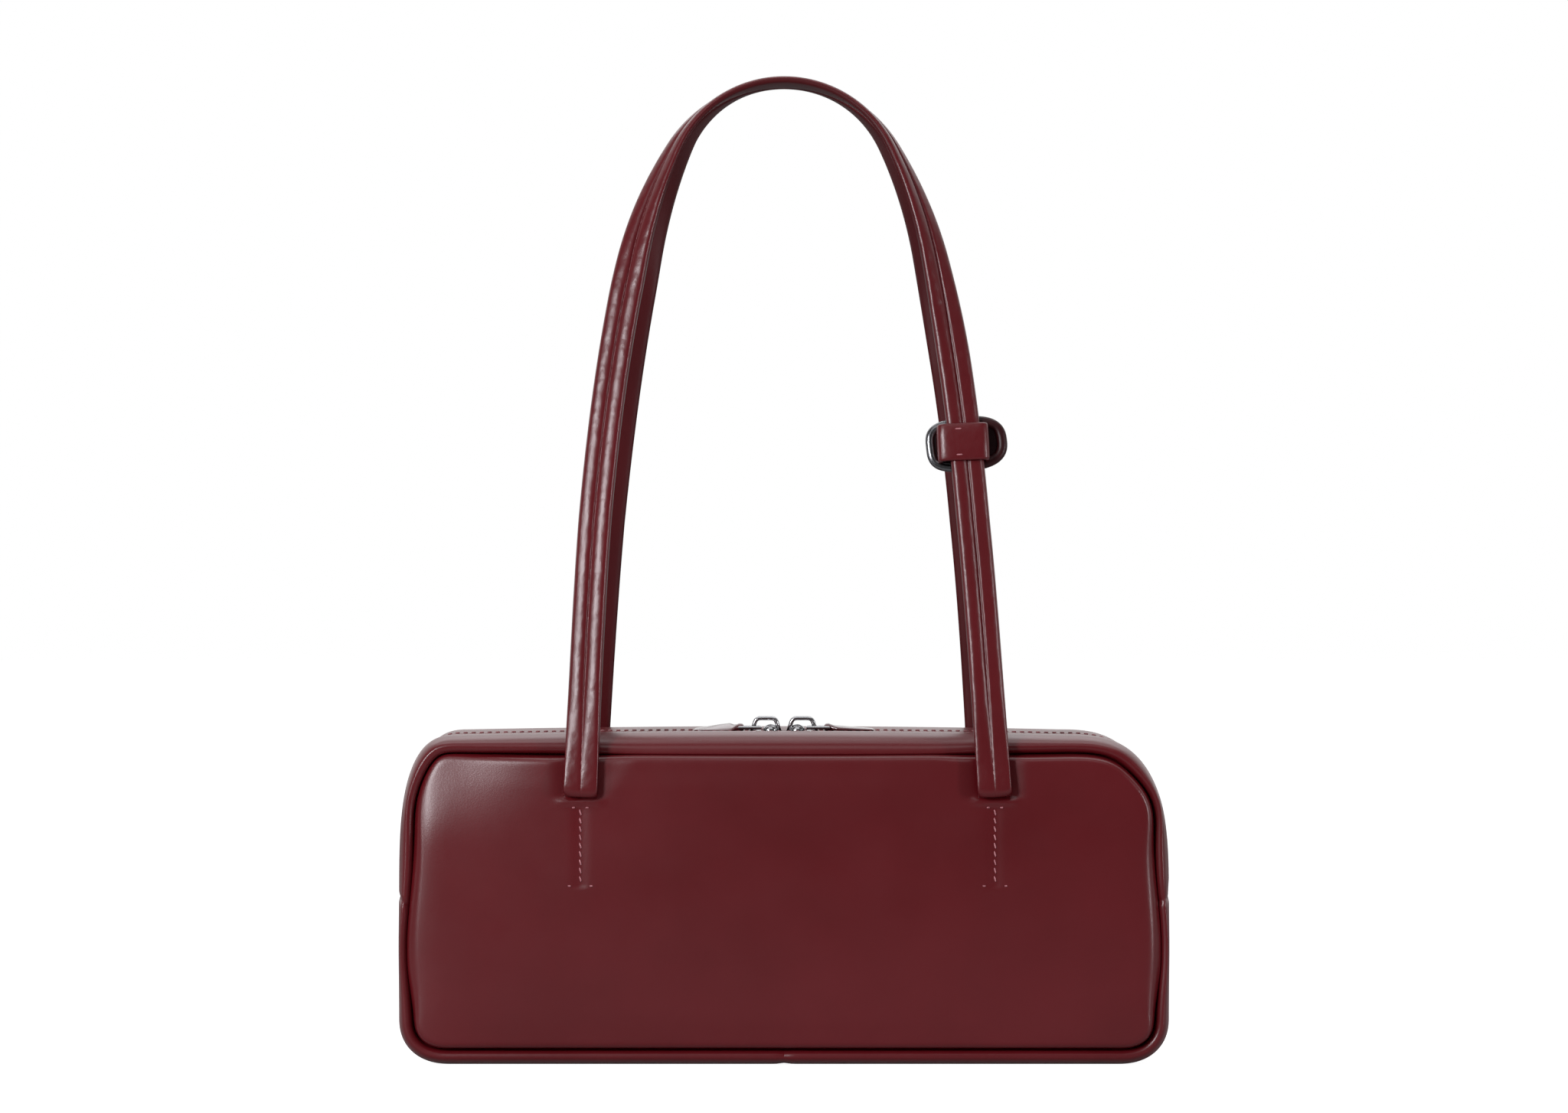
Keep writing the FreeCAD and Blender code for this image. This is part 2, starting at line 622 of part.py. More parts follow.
def handle():
    half = half_arch()
    stations = [(station, -1, LEFT_TWIST_START) for station in reversed(half)]
    stations += [(station, 1, RIGHT_TWIST_START) for station in half[1:]]
    sections = [strap_section(*station, side, start) for station, side, start in stations]
    strap = Part.makeLoft(sections, True, True)
    ends = []
    for side in (-1, 1):
        round_end = Part.makeCylinder(STRAP_THICKNESS / 2, STRAP_WIDTH - 2 * STRAP_EDGE,
                                      Vector(side * HANDLE_SPREAD / 2 - STRAP_WIDTH / 2 + STRAP_EDGE, 0, 0),
                                      Vector(1, 0, 0))
        ends.append(round_end)
    return leant(joined(strap, *ends))


# Keeper: a leather band round the strap and through a three-bar ring that lies behind it


def keeper_station():
    """The keeper's place on the right leg in the handle's plane: x, z and lean."""
    z = (KEEPER_HEIGHT - HANDLE_BASE_HEIGHT) / cosine(HANDLE_RECLINE)
    curve = leg_curve()
    level = Part.LineSegment(Vector(0, 0, z), Vector(HANDLE_SPREAD, 0, z))
    meeting = curve.intersectCC(level)[0]
    return leg_station(curve, curve.parameter(Vector(meeting.X, meeting.Y, meeting.Z)))


def on_strap(shape):
    """A shape drawn round an upright strap at the origin, moved onto the right leg."""
    x, z, lean = keeper_station()
    placed = shape.copy()
    placed.rotate(Vector(0, 0, 0), Vector(0, 1, 0), -lean)
    placed.translate(Vector(x, 0, z))
    return leant(placed)


def ring_back():
    """How far the ring's back face lies behind the middle of the strap."""
    return STRAP_THICKNESS / 2 + KEEPER_GAP + RING_THICKNESS


def keeper_band():
    front = -STRAP_THICKNESS / 2 - KEEPER_GAP
    back = ring_back() + SLIDER_GAP
    half = KEEPER_BAND_WIDTH / 2
    half_height = KEEPER_BAND_HEIGHT / 2
    outer = box(-half, half, front - KEEPER_BAND, back + KEEPER_BAND, -half_height, half_height)
    inner = box(KEEPER_BAND - half, half - KEEPER_BAND, front, back, -half_height, half_height)
    rounded = []
    for shape, radius in ((outer, KEEPER_BEND), (inner, KEEPER_BEND - KEEPER_BAND)):
        rounded.append(shape.makeFillet(radius, upright_edges(shape)))
    return on_strap(rounded[0].cut(rounded[1]))


def ring_outline(inset):
    """The ring's outline on its side, drawn in by inset: the outer end, with the larger corners, is up."""
    half_length = RING_WIDTH / 2 - inset
    return rounded_box(RING_HEIGHT / 2 - inset, RING_OFFSET - half_length, RING_OFFSET + half_length,
                       RING_CORNER - inset, RING_NOSE - inset)


def keeper_ring():
    """A ring with one blunt and one rounder end, its edges broken, and a bar across it behind the strap."""
    ring = ring_outline(0).cut(ring_outline(RING_BAR)).extrude(Vector(0, RING_THICKNESS, 0))
    rims = [edge for edge in ring.Edges if edge.BoundBox.YLength < RING_EDGE]
    ring = ring.makeChamfer(RING_EDGE, rims)
    ring.rotate(Vector(0, 0, 0), Vector(0, 1, 0), 90)
    half_height = RING_HEIGHT / 2
    bar = box(-RING_BAR / 2, RING_BAR / 2, 0, RING_THICKNESS,
              RING_BAR / 2 - half_height, half_height - RING_BAR / 2)
    return on_strap(moved(joined(ring, bar), 0, ring_back() - RING_THICKNESS, 0))


def build():
    """Every piece by name; the bag is the same front and rear, and left and right, apart from the keeper."""
    parts = {}
    start = MOUTH_END + MOUTH_GAP
    tail = strap_tail()
    patch = tail_patch()
    corner_strip = upper_run(strip_section(SEAM_Y, False), start)
    base_gusset = lower_run(base_section(), SIDE_SEAM_HEIGHT)
    end_tape = upper_run(tape_section(), start)
    front_row = tooth()
    rear_row = rear(front_row)
    right_end_teeth = Part.makeCompound(end_teeth(front_row, 0) + end_teeth(rear_row, 0.5))
    right_end_tapes = Part.makeCompound([end_tape, rear(end_tape)])
    mouth_strip = along_mouth(strip_section(SEAM_Y - MOUTH_GAP, True))
    mouth_tape = along_mouth(tape_section())

    for name, shape in (("panel", panel()), ("welt", welt()), ("stiffener", stiffener()),
                        ("lining", panel_lining()), ("mouth_strip", mouth_strip), ("mouth_tape", mouth_tape),
                        ("handle", handle())):
        parts["front_" + name] = shape
        parts["rear_" + name] = rear(shape)
    for name, shape in (("tail", tail), ("zip_gusset", corner_strip)):
        parts["front_right_" + name] = shape
        parts["front_left_" + name] = left(shape)
        parts["rear_right_" + name] = rear(shape)
        parts["rear_left_" + name] = left(rear(shape))
    for name, shape in (("base_gusset", base_gusset), ("end_tapes", right_end_tapes),
                        ("end_teeth", right_end_teeth), ("slider", slider()), ("bridge", bridge()),
                        ("pull_link", pull_link()), ("pull_tab", pull_tab())):
        parts["right_" + name] = shape
        parts["left_" + name] = left(shape)
    parts["front_mouth_teeth"] = mouth_teeth(front_row, 0)
    parts["rear_mouth_teeth"] = mouth_teeth(rear_row, 0.5)
    parts["base_board"] = base_board()
    parts["gusset_lining"] = gusset_lining()
    parts["tail_patches"] = Part.makeCompound([patch, left(patch), rear(patch), left(rear(patch))])
    parts["keeper_band"] = keeper_band()
    parts["keeper_ring"] = keeper_ring()
    return parts


def main():
    os.makedirs("parts", exist_ok=True)
    for name, shape in build().items():
        shape.exportStep(os.path.join("parts", name + ".step"))
    x, z, lean = keeper_station()
    print("handle hinge y, z", HANDLE_Y, HANDLE_BASE_HEIGHT)
    print("mouth hinge y, z", MOUTH_HINGE_Y, SEAM_TOP)
    print("slider travel", SLIDER_TRAVEL)
    print("pull pivot x, z", link_pivot_x(), link_pivot_z())
    print("keeper x, z in the handle's plane, lean, recline", x, z, lean, HANDLE_RECLINE)


main()
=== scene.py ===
import json
import math

import bpy
import numpy as np
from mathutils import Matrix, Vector


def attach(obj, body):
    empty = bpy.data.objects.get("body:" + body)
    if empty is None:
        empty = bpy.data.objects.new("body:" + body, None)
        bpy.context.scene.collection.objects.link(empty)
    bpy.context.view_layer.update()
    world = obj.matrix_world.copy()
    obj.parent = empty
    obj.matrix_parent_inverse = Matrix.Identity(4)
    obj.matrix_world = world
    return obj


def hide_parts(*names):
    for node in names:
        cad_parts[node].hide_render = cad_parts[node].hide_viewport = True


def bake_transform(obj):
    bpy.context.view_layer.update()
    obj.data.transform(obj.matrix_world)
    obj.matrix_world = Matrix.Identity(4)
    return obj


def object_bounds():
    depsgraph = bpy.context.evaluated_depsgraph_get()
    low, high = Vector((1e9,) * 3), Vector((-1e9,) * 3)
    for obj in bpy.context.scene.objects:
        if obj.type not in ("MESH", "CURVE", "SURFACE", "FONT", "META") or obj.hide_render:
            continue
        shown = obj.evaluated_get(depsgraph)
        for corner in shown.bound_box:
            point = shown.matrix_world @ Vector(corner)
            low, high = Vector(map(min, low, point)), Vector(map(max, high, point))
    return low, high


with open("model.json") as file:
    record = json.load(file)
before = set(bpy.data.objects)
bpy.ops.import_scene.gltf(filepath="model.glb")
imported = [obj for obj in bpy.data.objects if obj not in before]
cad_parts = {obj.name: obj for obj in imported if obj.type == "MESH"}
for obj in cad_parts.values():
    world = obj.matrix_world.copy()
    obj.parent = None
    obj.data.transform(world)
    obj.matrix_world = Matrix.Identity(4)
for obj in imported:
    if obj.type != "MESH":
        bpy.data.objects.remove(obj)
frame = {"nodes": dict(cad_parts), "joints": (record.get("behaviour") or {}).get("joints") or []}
cad_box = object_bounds()
joints = {joint["name"]: joint for joint in frame["joints"]}

# Sizes are in millimetres, and each mesh is turned into metres once
MM = 0.001
FACINGS = ((-1, "front"), (1, "rear"))


def from_frame(metres):
    """A length read from the frame, in millimetres."""
    return round(metres / MM, 3)


# Body: corners are superellipses, given as reach along x, reach along z and power
HALF_LENGTH = from_frame(cad_box[1][0])
TOP = 128.2
TOP_DOME = 1.3
SIDE_SEAM = 65.8
TOP_CORNERS = {-1: (24.0, 60.0, 2.95), 1: (40.0, 62.0, 2.9)}
BASE_CORNER = (20.0, 18.0, 2.25)
SEAM_Y = 33.8
ROLL = 6.4
ROLL_DEPTH = 13.0
RIM_FRONT = 36.4
RIM_CURL = 2.4
GROOVE = 0.65
PANEL_FACE = 40.0
PANEL_ROLL = 0.65
PANEL_BULGE = 1.6

# Zip
ZIP_WINDOW = 5.5
TOOTH_PITCH = 3.0
CHAIN_Z = 126.2
CHAIN_DEPTH = 3.55
WEDGE_END_X = 97.6

# Handles
HANDLE_Y, HANDLE_Z = [from_frame(value) for value in joints["rear_handle_swing"]["pos_m"][1:]]
HANDLE_RECLINE = math.radians(7.3895)
HANDLE_LENGTH = 284.6
SLIT_X = 80.0
STITCH_PITCH = 3.2
STITCH_RADIUS = 0.3
STRAP_SHIFT = 1.4
STRAP_FOOT = 2.0
STRAP_HALF = 6.5
FOOT_ROUNDING = 1.5
CROWN_GATHER = 2.0


# Mesh helpers


def add_mesh(name, points, faces, material, smooth=True):
    mesh = bpy.data.meshes.new(name)
    mesh.from_pydata((np.asarray(points, float) * MM).tolist(), [], faces)
    mesh.validate()
    if smooth:
        mesh.shade_smooth()
    mesh.materials.append(material)
    piece = bpy.data.objects.new(name, mesh)
    bpy.context.scene.collection.objects.link(piece)
    return piece


def grid(points, close_rows=False, close_columns=False, flip=False):
    """Vertices and faces of a grid of points, given as an array of rows, columns and 3."""
    points = np.asarray(points, float)
    rows, columns = points.shape[:2]
    faces = []
    for row in range(rows if close_rows else rows - 1):
        below = (row + 1) % rows
        for column in range(columns if close_columns else columns - 1):
            beside = (column + 1) % columns
            face = [row * columns + column, row * columns + beside,
                    below * columns + beside, below * columns + column]
            faces.append(face[::-1] if flip else face)
    return points.reshape(-1, 3), faces


def tube(rings, flip=False):
    """A tube through rings of points, with a flat cap on both ends."""
    points, faces = grid(np.stack(rings), close_columns=True, flip=flip)
    sides = len(rings[0])
    caps = [list(range(sides))[::-1], list(range(len(points) - sides, len(points)))]
    return points, faces + [cap[::-1] if flip else cap for cap in caps]


def circle(steps):
    """Angles at even steps round a circle."""
    return np.linspace(0, 2 * math.pi, steps, endpoint=False)


# Rings of a thread: share of its length and share of its radius
THREAD_RINGS = ((0.0, 0.25), (0.12, 0.85), (0.5, 1.0), (0.88, 0.85), (1.0, 0.25))


class Pile:
    """Several small meshes gathered into one."""

    def __init__(self):
        self.points = []
        self.faces = []

    def add(self, points, faces):
        start = len(self.points)
        self.points.extend(np.asarray(points, float).tolist())
        self.faces.extend([[start + index for index in face] for face in faces])

    def piece(self, name, material, smooth=True):
        return add_mesh(name, self.points, self.faces, material, smooth)


def capsule(start, end, radius, sides=6):
    """A short rounded thread from start to end."""
    start, end = np.asarray(start, float), np.asarray(end, float)
    axis = unit(end - start)
    helper = np.array([0, 0, 1.0]) if abs(axis[2]) < 0.9 else np.array([1.0, 0, 0])
    first = unit(np.cross(axis, helper))
    second = np.cross(axis, first)
    turn = circle(sides)
    spokes = np.cos(turn)[:, None] * first + np.sin(turn)[:, None] * second
    rings = []
    for share, size in THREAD_RINGS:
        rings.append(start + (end - start) * share + radius * size * spokes)
    return tube(rings)


def smoothstep(value):
    value = np.clip(value, 0.0, 1.0)
    return value * value * (3 - 2 * value)


def rising(value, start, width):
    """0 up to start, 1 from start + width on."""
    return smoothstep((value - start) / width)


def falling(value, end, width):
    """1 up to end - width, 0 from end on."""
    return smoothstep((end - value) / width)


def bell(value, width):
    return np.exp(-(value / width) ** 2)


def unit(vector):
    return vector / np.linalg.norm(vector, axis=-1, keepdims=True)


def signed_power(value, power):
    return np.sign(value) * np.abs(value) ** power


# Materials: textures lie in each piece's own coordinates, and bump distances are in metres


def node(nodes, kind, **settings):
    made = nodes.new(kind)
    for key, value in settings.items():
        if key in made.inputs:
            made.inputs[key].default_value = value
        else:
            setattr(made, key, value)
    return made


def map_range(nodes, links, value, from_min=0.0, from_max=1.0, to_min=0.0, to_max=1.0):
    made = nodes.new("ShaderNodeMapRange")
    made.inputs["From Min"].default_value = from_min
    made.inputs["From Max"].default_value = from_max
    made.inputs["To Min"].default_value = to_min
    made.inputs["To Max"].default_value = to_max
    links.new(value, made.inputs["Value"])
    return made.outputs["Result"]


def math_node(nodes, links, operation, first, second):
    made = node(nodes, "ShaderNodeMath", operation=operation)
    links.new(first, made.inputs[0])
    links.new(second, made.inputs[1])
    return made.outputs["Value"]


class Surface:
    """A material being made."""

    def __init__(self, name):
        self.material = bpy.data.materials.new(name)
        self.material.use_nodes = True
        self.nodes = self.material.node_tree.nodes
        self.links = self.material.node_tree.links
        self.shader = self.nodes["Principled BSDF"]
        self.place = self.nodes.new("ShaderNodeTexCoord")

    def constant(self, socket, value):
        self.shader.inputs[socket].default_value = value

    def texture(self, kind, **settings):
        made = node(self.nodes, kind, **settings)
        self.links.new(self.place.outputs["Object"], made.inputs["Vector"])
        return made

    def colour(self, value, low_place, low_colour, high_place, high_colour):
        ramp = self.nodes.new("ShaderNodeValToRGB")
        low, high = ramp.color_ramp.elements
        low.position = low_place
        low.color = (*low_colour, 1)
        high.position = high_place
        high.color = (*high_colour, 1)
        self.links.new(value, ramp.inputs["Fac"])
        self.links.new(ramp.outputs["Color"], self.shader.inputs["Base Color"])

    def roughness(self, value, low, high):
        spread = map_range(self.nodes, self.links, value, to_min=low, to_max=high)
        self.links.new(spread, self.shader.inputs["Roughness"])

    def bump(self, value, strength, distance):
        """Lays a bump over those already there."""
        made = node(self.nodes, "ShaderNodeBump", Strength=strength, Distance=distance)
        self.links.new(value, made.inputs["Height"])
        normal = self.shader.inputs["Normal"]
        if normal.is_linked:
            self.links.new(normal.links[0].from_socket, made.inputs["Normal"])
        self.links.new(made.outputs["Normal"], normal)


def leather(name, dark, light, roughness, grain, shine=0.5, coat=0.0, ripple=0.0):
    """Smooth finished leather: cloudy colour, fine pores, soft creases, ripples and uneven gloss."""
    surface = Surface(name)
    cloud = surface.texture("ShaderNodeTexNoise", Scale=14.0, Detail=4.0, Roughness=0.6)
    gloss = surface.texture("ShaderNodeTexNoise", Scale=60.0, Detail=3.0)
    pores = surface.texture("ShaderNodeTexVoronoi", Scale=1500.0, feature="F1")
    creases = surface.texture("ShaderNodeTexNoise", Scale=420.0, Detail=5.0, Roughness=0.65)
    ripples = surface.texture("ShaderNodeTexNoise", Scale=190.0, Detail=1.5)
    surface.colour(cloud.outputs["Fac"], 0.3, dark, 0.72, light)
    surface.roughness(gloss.outputs["Fac"], roughness - 0.015, roughness + 0.06)
    surface.bump(pores.outputs["Distance"], grain, 0.00012)
    surface.bump(creases.outputs["Fac"], grain, 0.0002)
    surface.bump(ripples.outputs["Fac"], ripple, 0.0008)
    surface.constant("Specular IOR Level", shine)
    surface.constant("Coat Weight", coat)
    surface.constant("Coat Roughness", 0.15)
    return surface.material


def woven(name, dark, light, scale):
    """Plain woven cloth: two crossing sets of threads, with a soft sheen."""
    surface = Surface(name)
    warp = surface.texture("ShaderNodeTexWave", Scale=scale, bands_direction="X")
    weft = surface.texture("ShaderNodeTexWave", Scale=scale, bands_direction="DIAGONAL")
    both = math_node(surface.nodes, surface.links, "MULTIPLY", warp.outputs["Fac"], weft.outputs["Fac"])
    surface.colour(both, 0.1, dark, 0.8, light)
    surface.bump(both, 0.4, 0.0002)
    surface.constant("Roughness", 0.85)
    surface.constant("Sheen Weight", 0.25)
    return surface.material


def polished(name, colour, roughness):
    """Plated metal with faint rubbing marks."""
    surface = Surface(name)
    marks = surface.texture("ShaderNodeTexNoise", Scale=900.0, Detail=4.0)
    surface.colour(marks.outputs["Fac"], 0.2, [0.8 * channel for channel in colour], 0.8, colour)
    surface.roughness(marks.outputs["Fac"], roughness, roughness + 0.1)
    surface.bump(marks.outputs["Fac"], 0.05, 0.0001)
    surface.constant("Metallic", 1.0)
    return surface.material


def moulded(name, dark, light, roughness, shine=0.5):
    """A plain, faintly mottled surface, for teeth, threads, and the near-black fill painted in where there
    is only shade.
    """
    surface = Surface(name)
    cloud = surface.texture("ShaderNodeTexNoise", Scale=300.0, Detail=3.0)
    surface.colour(cloud.outputs["Fac"], 0.3, dark, 0.7, light)
    surface.bump(cloud.outputs["Fac"], 0.1, 0.0001)
    surface.constant("Roughness", roughness)
    surface.constant("Specular IOR Level", shine)
    return surface.material


LEATHER_DARK = (0.094, 0.0036, 0.0062)
LEATHER_LIGHT = (0.117, 0.0056, 0.0092)
body_leather = leather("body_leather", LEATHER_DARK, LEATHER_LIGHT, 0.295, 0.08)
strap_leather = leather("strap_leather", LEATHER_DARK, LEATHER_LIGHT, 0.295, 0.10, ripple=0.38)
tab_leather = leather("tab_leather", (0.07, 0.010, 0.013), (0.09, 0.013, 0.017), 0.30, 0.12, coat=1.0)
# The sleeve's leather is a much darker copy of the strap leather: its darkness is painted shade
sleeve_painted_shade_leather = leather("sleeve_painted_shade_leather", (0.022, 0.0013, 0.0022), (0.034, 0.002, 0.0033), 0.36, 0.10, 0.3)
# The strap's back is a darker copy of the strap leather: painted shade on its back faces
strap_back_painted_shade = leather("strap_back_painted_shade", (0.060, 0.0032, 0.0050), (0.078, 0.0046, 0.0068), 0.42, 0.10, 0.25)
# Near-black fill for the ring's opening: painted shade
painted_shade_fill = moulded("painted_shade_fill", (0.006, 0.0008, 0.0012), (0.010, 0.0014, 0.002), 0.75, 0.1)
zip_tape = woven("zip_tape", (0.035, 0.006, 0.008), (0.070, 0.011, 0.014), 900.0)
lining_cloth = woven("lining", (0.060, 0.016, 0.018), (0.110, 0.034, 0.038), 500.0)
thread = moulded("thread", (0.40, 0.15, 0.17), (0.52, 0.22, 0.24), 0.6, 0.2)
strap_thread = moulded("strap_thread", (0.20, 0.07, 0.075), (0.30, 0.12, 0.125), 0.5)
zip_teeth = moulded("zip_teeth", (0.060, 0.010, 0.013), (0.090, 0.015, 0.019), 0.3)
bright_metal = polished("bright_metal", (0.50, 0.50, 0.51), 0.14)
ring_metal = polished("ring_metal", (0.20, 0.20, 0.21), 0.18)


# The body's outline, seen from the front: a closed loop of outer points, clockwise from the top middle


LONG_STEPS = 90


def corner_points(side, z_flat, corner, upward, steps):
    """A quarter of a superellipse from the side to the top or base, as x and z."""
    semi_x, semi_z, power = corner
    angle = np.linspace(0, math.pi / 2, steps)
    x = side * (HALF_LENGTH - semi_x + semi_x * np.cos(angle) ** (2 / power))
    z = z_flat + upward * (semi_z * np.sin(angle) ** (2 / power) - semi_z)
    return np.stack([x, z], 1)


def upper_run(side):
    """From the side seam up, round the top corner and along to the middle of the top."""
    semi_x, semi_z, _ = TOP_CORNERS[side]
    rise = np.linspace(SIDE_SEAM, TOP - semi_z, 10)[:-1]
    straight = np.stack([np.full_like(rise, side * HALF_LENGTH), rise], 1)
    corner = corner_points(side, TOP, TOP_CORNERS[side], 1, 44)
    end = HALF_LENGTH - semi_x
    along = np.linspace(end, 0, LONG_STEPS)[1:]
    top = np.stack([side * along, TOP + TOP_DOME * (1 - (along / end) ** 2)], 1)
    return np.concatenate([straight, corner, top])


def lower_run(side):
    """From the side seam down, round the base corner and along to the middle of the base."""
    semi_x, semi_z, _ = BASE_CORNER
    closer_at_seam = np.linspace(0, 1, 40)[:-1] ** 1.6
    drop = SIDE_SEAM - (SIDE_SEAM - semi_z) * closer_at_seam
    straight = np.stack([np.full_like(drop, side * HALF_LENGTH), drop], 1)
    corner = corner_points(side, 0, BASE_CORNER, -1, 32)
    along = np.linspace(HALF_LENGTH - semi_x, 0, LONG_STEPS)[1:]
    base = np.stack([side * along, np.zeros_like(along)], 1)
    return np.concatenate([straight, corner, base])


def loop_points():
    """The loop's points, and the indices of its top middle, right seam, base middle and left seam."""
    right_top = upper_run(1)[::-1]
    right_base = lower_run(1)[1:]
    left_base = lower_run(-1)[::-1][1:]
    left_top = upper_run(-1)[1:-1]
    marks = np.cumsum([0, len(right_top) - 1, len(right_base), len(left_base)])
    return np.concatenate([right_top, right_base, left_base, left_top]), marks


def top_flush(x, z):
    """The rim lies flush against the panel between the straps: 1 where it does."""
    return falling(np.abs(x), 88, 34) * rising(z, 112, 4)


LOOP, MARKS = loop_points()
LOOP_X, LOOP_Z = LOOP.T
TOP_MIDDLE, RIGHT_SEAM, BASE_MIDDLE, LEFT_SEAM = MARKS
TANGENT = unit(np.roll(LOOP, -1, 0) - np.roll(LOOP, 1, 0))
NORMAL = np.stack([-TANGENT[:, 1], TANGENT[:, 0]], 1)
SIDE_SHARE = rising(np.abs(NORMAL[:, 0]), 0.6, 0.4)

# The rim's height along the loop: narrower at the waist and shoulders, wider under the domed top
WAIST_DRAW = 2.4 * SIDE_SHARE * bell(LOOP_Z - 46, 22)
SHOULDER_DRAW = SIDE_SHARE * bell(LOOP_Z - 103, 13) * np.where(LOOP_X > 0, 2.4, 1.1)
RIM = ROLL - WAIST_DRAW - SHOULDER_DRAW + 1.75 * np.clip(LOOP_Z - TOP, 0, None)
CURL = RIM_CURL * (1 - 0.7 * top_flush(LOOP_X, LOOP_Z))


def inward(depth):
    """The loop drawn in by depth, which may differ from point to point."""
    return LOOP - NORMAL * np.broadcast_to(depth, (len(LOOP),))[:, None]


def stretch(start, end):
    """Loop indices from start to end, going clockwise."""
    count = (end - start) % len(LOOP)
    return [(start + step) % len(LOOP) for step in range(count + 1)]


def core_line(across, half, z):
    """Points level at z, on which rings drawn in from the loop close; none lies further out than half."""
    return np.stack([np.clip(across, -half, half), np.full(len(across), z)], 1)


# Panels: rings from the seam inwards, with the face's height a function of the place


PANEL_INSETS = (-0.05, 0.0, 0.15, 0.4, 0.8, 1.3, 1.9, 2.6, 3.4, 4.3, 5.3, 6.4, 7.6, 9.0, 10.5, 12.0)
PANEL_STEPS = 72
CORE_HALF = 100.0
CORE_STRETCH = 1.12
CORE_Z = 64.0
CORE_INSET = 30.0
GROOVE_CLOSING = 0.92
CLOSED_LIFT = 1.8
CLOSED_ROLL = 1.1
FLUSH_LIFT = 1.3
OPEN_DROP = 8.5
CLOSED_DROP = 4.2
LEFT_DROP = 3.8
CORNER_DROP = 1.45
RIGHT_DROP = 1.4
RECESS_DEPTH = 1.4
LOOSE_DEPTH = 0.4
LIP_HEIGHT = 0.35
SEWN_DEPTH = 0.45
SEWN_FOOT = 69.0


def groove_closed(x, z):
    """1 where the groove is closed: at mid height on both sides, and along the middle of the top."""
    sides = rising(np.abs(x), 128, 9) * rising(z, 14, 26) * falling(z, 104, 40)
    return np.maximum(sides, top_flush(x, z))


def shoulder_drop(x, z):
    """How far the face falls away towards its loose left edge, its top left corner and its right edge."""
    left = LEFT_DROP * np.exp(-np.clip(x + 144, 0, None) / 3.4) * (0.3 + 0.7 * rising(z, 60, 45))
    corner = CORNER_DROP * np.log1p(np.exp((z - 95) / 6)) * falling(x, -86, 56)
    right = RIGHT_DROP * np.exp(-np.clip(144.5 - x, 0, None) / 1.2)
    return left + corner + right


def slit_form(x, z, inset, hand):
    """What one slit does to the face: a recess above it, a lip on it and a groove where it is sewn."""
    across = x - (hand * SLIT_X + STRAP_SHIFT)
    above = z - HANDLE_Z
    room = 13.5 if hand > 0 else 12.0 + 0.7 * np.clip(above - 1, 0, 16) * (across > 0)
    depth = np.where((hand < 0) & (across > 0), LOOSE_DEPTH, RECESS_DEPTH)
    recess = falling(np.abs(across), room, 11.0) * rising(above, 0.2, 2.6) * smoothstep(inset / 3.0)
    lip = falling(np.abs(across), 10.5, 4.0) * bell(above + 0.1, 1.5)
    sewn = bell(across, 2.2) * rising(z, SEWN_FOOT, 2.0) * falling(above, -0.2, 2.0)
    return LIP_HEIGHT * lip - depth * recess - SEWN_DEPTH * sewn


def panel_face(x, z, inset):
    """How far the panel's face stands out from the middle of the bag."""
    closed = groove_closed(x, z)
    flush = top_flush(x, z)
    rise = 1 - np.exp(-np.clip(inset, 0, None) / (PANEL_ROLL + CLOSED_ROLL * closed * (1 - flush)))
    base = SEAM_Y + CLOSED_LIFT * closed + FLUSH_LIFT * flush
    most = OPEN_DROP + (CLOSED_DROP - OPEN_DROP) * closed
    drop = most * np.tanh(shoulder_drop(x, z) / most)
    crown = (1 - (x / 143) ** 2) * (1 - ((z - 60) / 62) ** 2)
    waves = 0.15 * np.sin(x / 23 + 0.6) * np.sin(z / 19 + 0.4)
    height = base + (PANEL_FACE - base - drop) * rise
    height = height + (PANEL_BULGE * crown + waves) * rising(inset, 1, 12)
    return height + slit_form(x, z, inset, -1) + slit_form(x, z, inset, 1)


def panel_mesh(side):
    """side is -1 for the front panel and 1 for the rear one."""
    seam = inward(RIM + GROOVE * (1 - GROOVE_CLOSING * groove_closed(LOOP_X, LOOP_Z)))
    core = core_line(CORE_STRETCH * seam[:, 0], CORE_HALF, CORE_Z)
    towards = unit(core - seam)
    slant = np.clip(-np.sum(towards * NORMAL, 1), 0.45, 1)
    flats = [seam + towards * (inset / slant)[:, None] for inset in PANEL_INSETS]
    insets = list(PANEL_INSETS)
    edge = flats[-1]
    for share in np.arange(1, PANEL_STEPS + 1) / PANEL_STEPS:
        flats.append(edge * (1 - share) + core * share)
        insets.append(PANEL_INSETS[-1] + CORE_INSET * share)
    x, z = np.stack(flats).transpose(2, 0, 1)
    inset = np.broadcast_to(np.array(insets)[:, None], x.shape)
    height = np.where(inset < 0, SEAM_Y - 5, panel_face(x, z, inset))
    return grid(np.stack([x, side * height, z], -1), close_columns=True, flip=side < 0)


# Gusset: a section of y and depth below the loop, swept along the loop


# The hidden edge in the seam: how far back from the rim's front and how far below the rim
SEAM_BACK = np.array([7.0, 5.0])
SEAM_BELOW = np.array([2.0, 0.0])
SIDE_HOLLOW = 1.6


def roll_section(side, index):
    """The rolled rim: up out of the groove, over its front and on to the flat."""
    rim, bend = RIM[index], CURL[index]
    curl = np.radians(np.linspace(-85, 0, 8))[:-1]
    over = np.radians(np.linspace(0, 90, 16))
    back = np.concatenate([SEAM_BACK, bend * (1 - np.cos(curl)), ROLL_DEPTH * (1 - np.cos(over))])
    depth = np.concatenate([rim + SEAM_BELOW, rim - bend * (1 + np.sin(curl)),
                            (rim - bend) * (1 - np.sin(over))])
    return np.stack([side * (RIM_FRONT - back), depth], 1)


def swept(indices, section_at):
    """Rows of points: the section at each of these points of the loop."""
    rows = []
    for index in indices:
        section = section_at(index)
        place = LOOP[index] - NORMAL[index] * section[:, 1:]
        rows.append(np.stack([place[:, 0], section[:, 0], place[:, 1]], 1))
    return np.stack(rows)


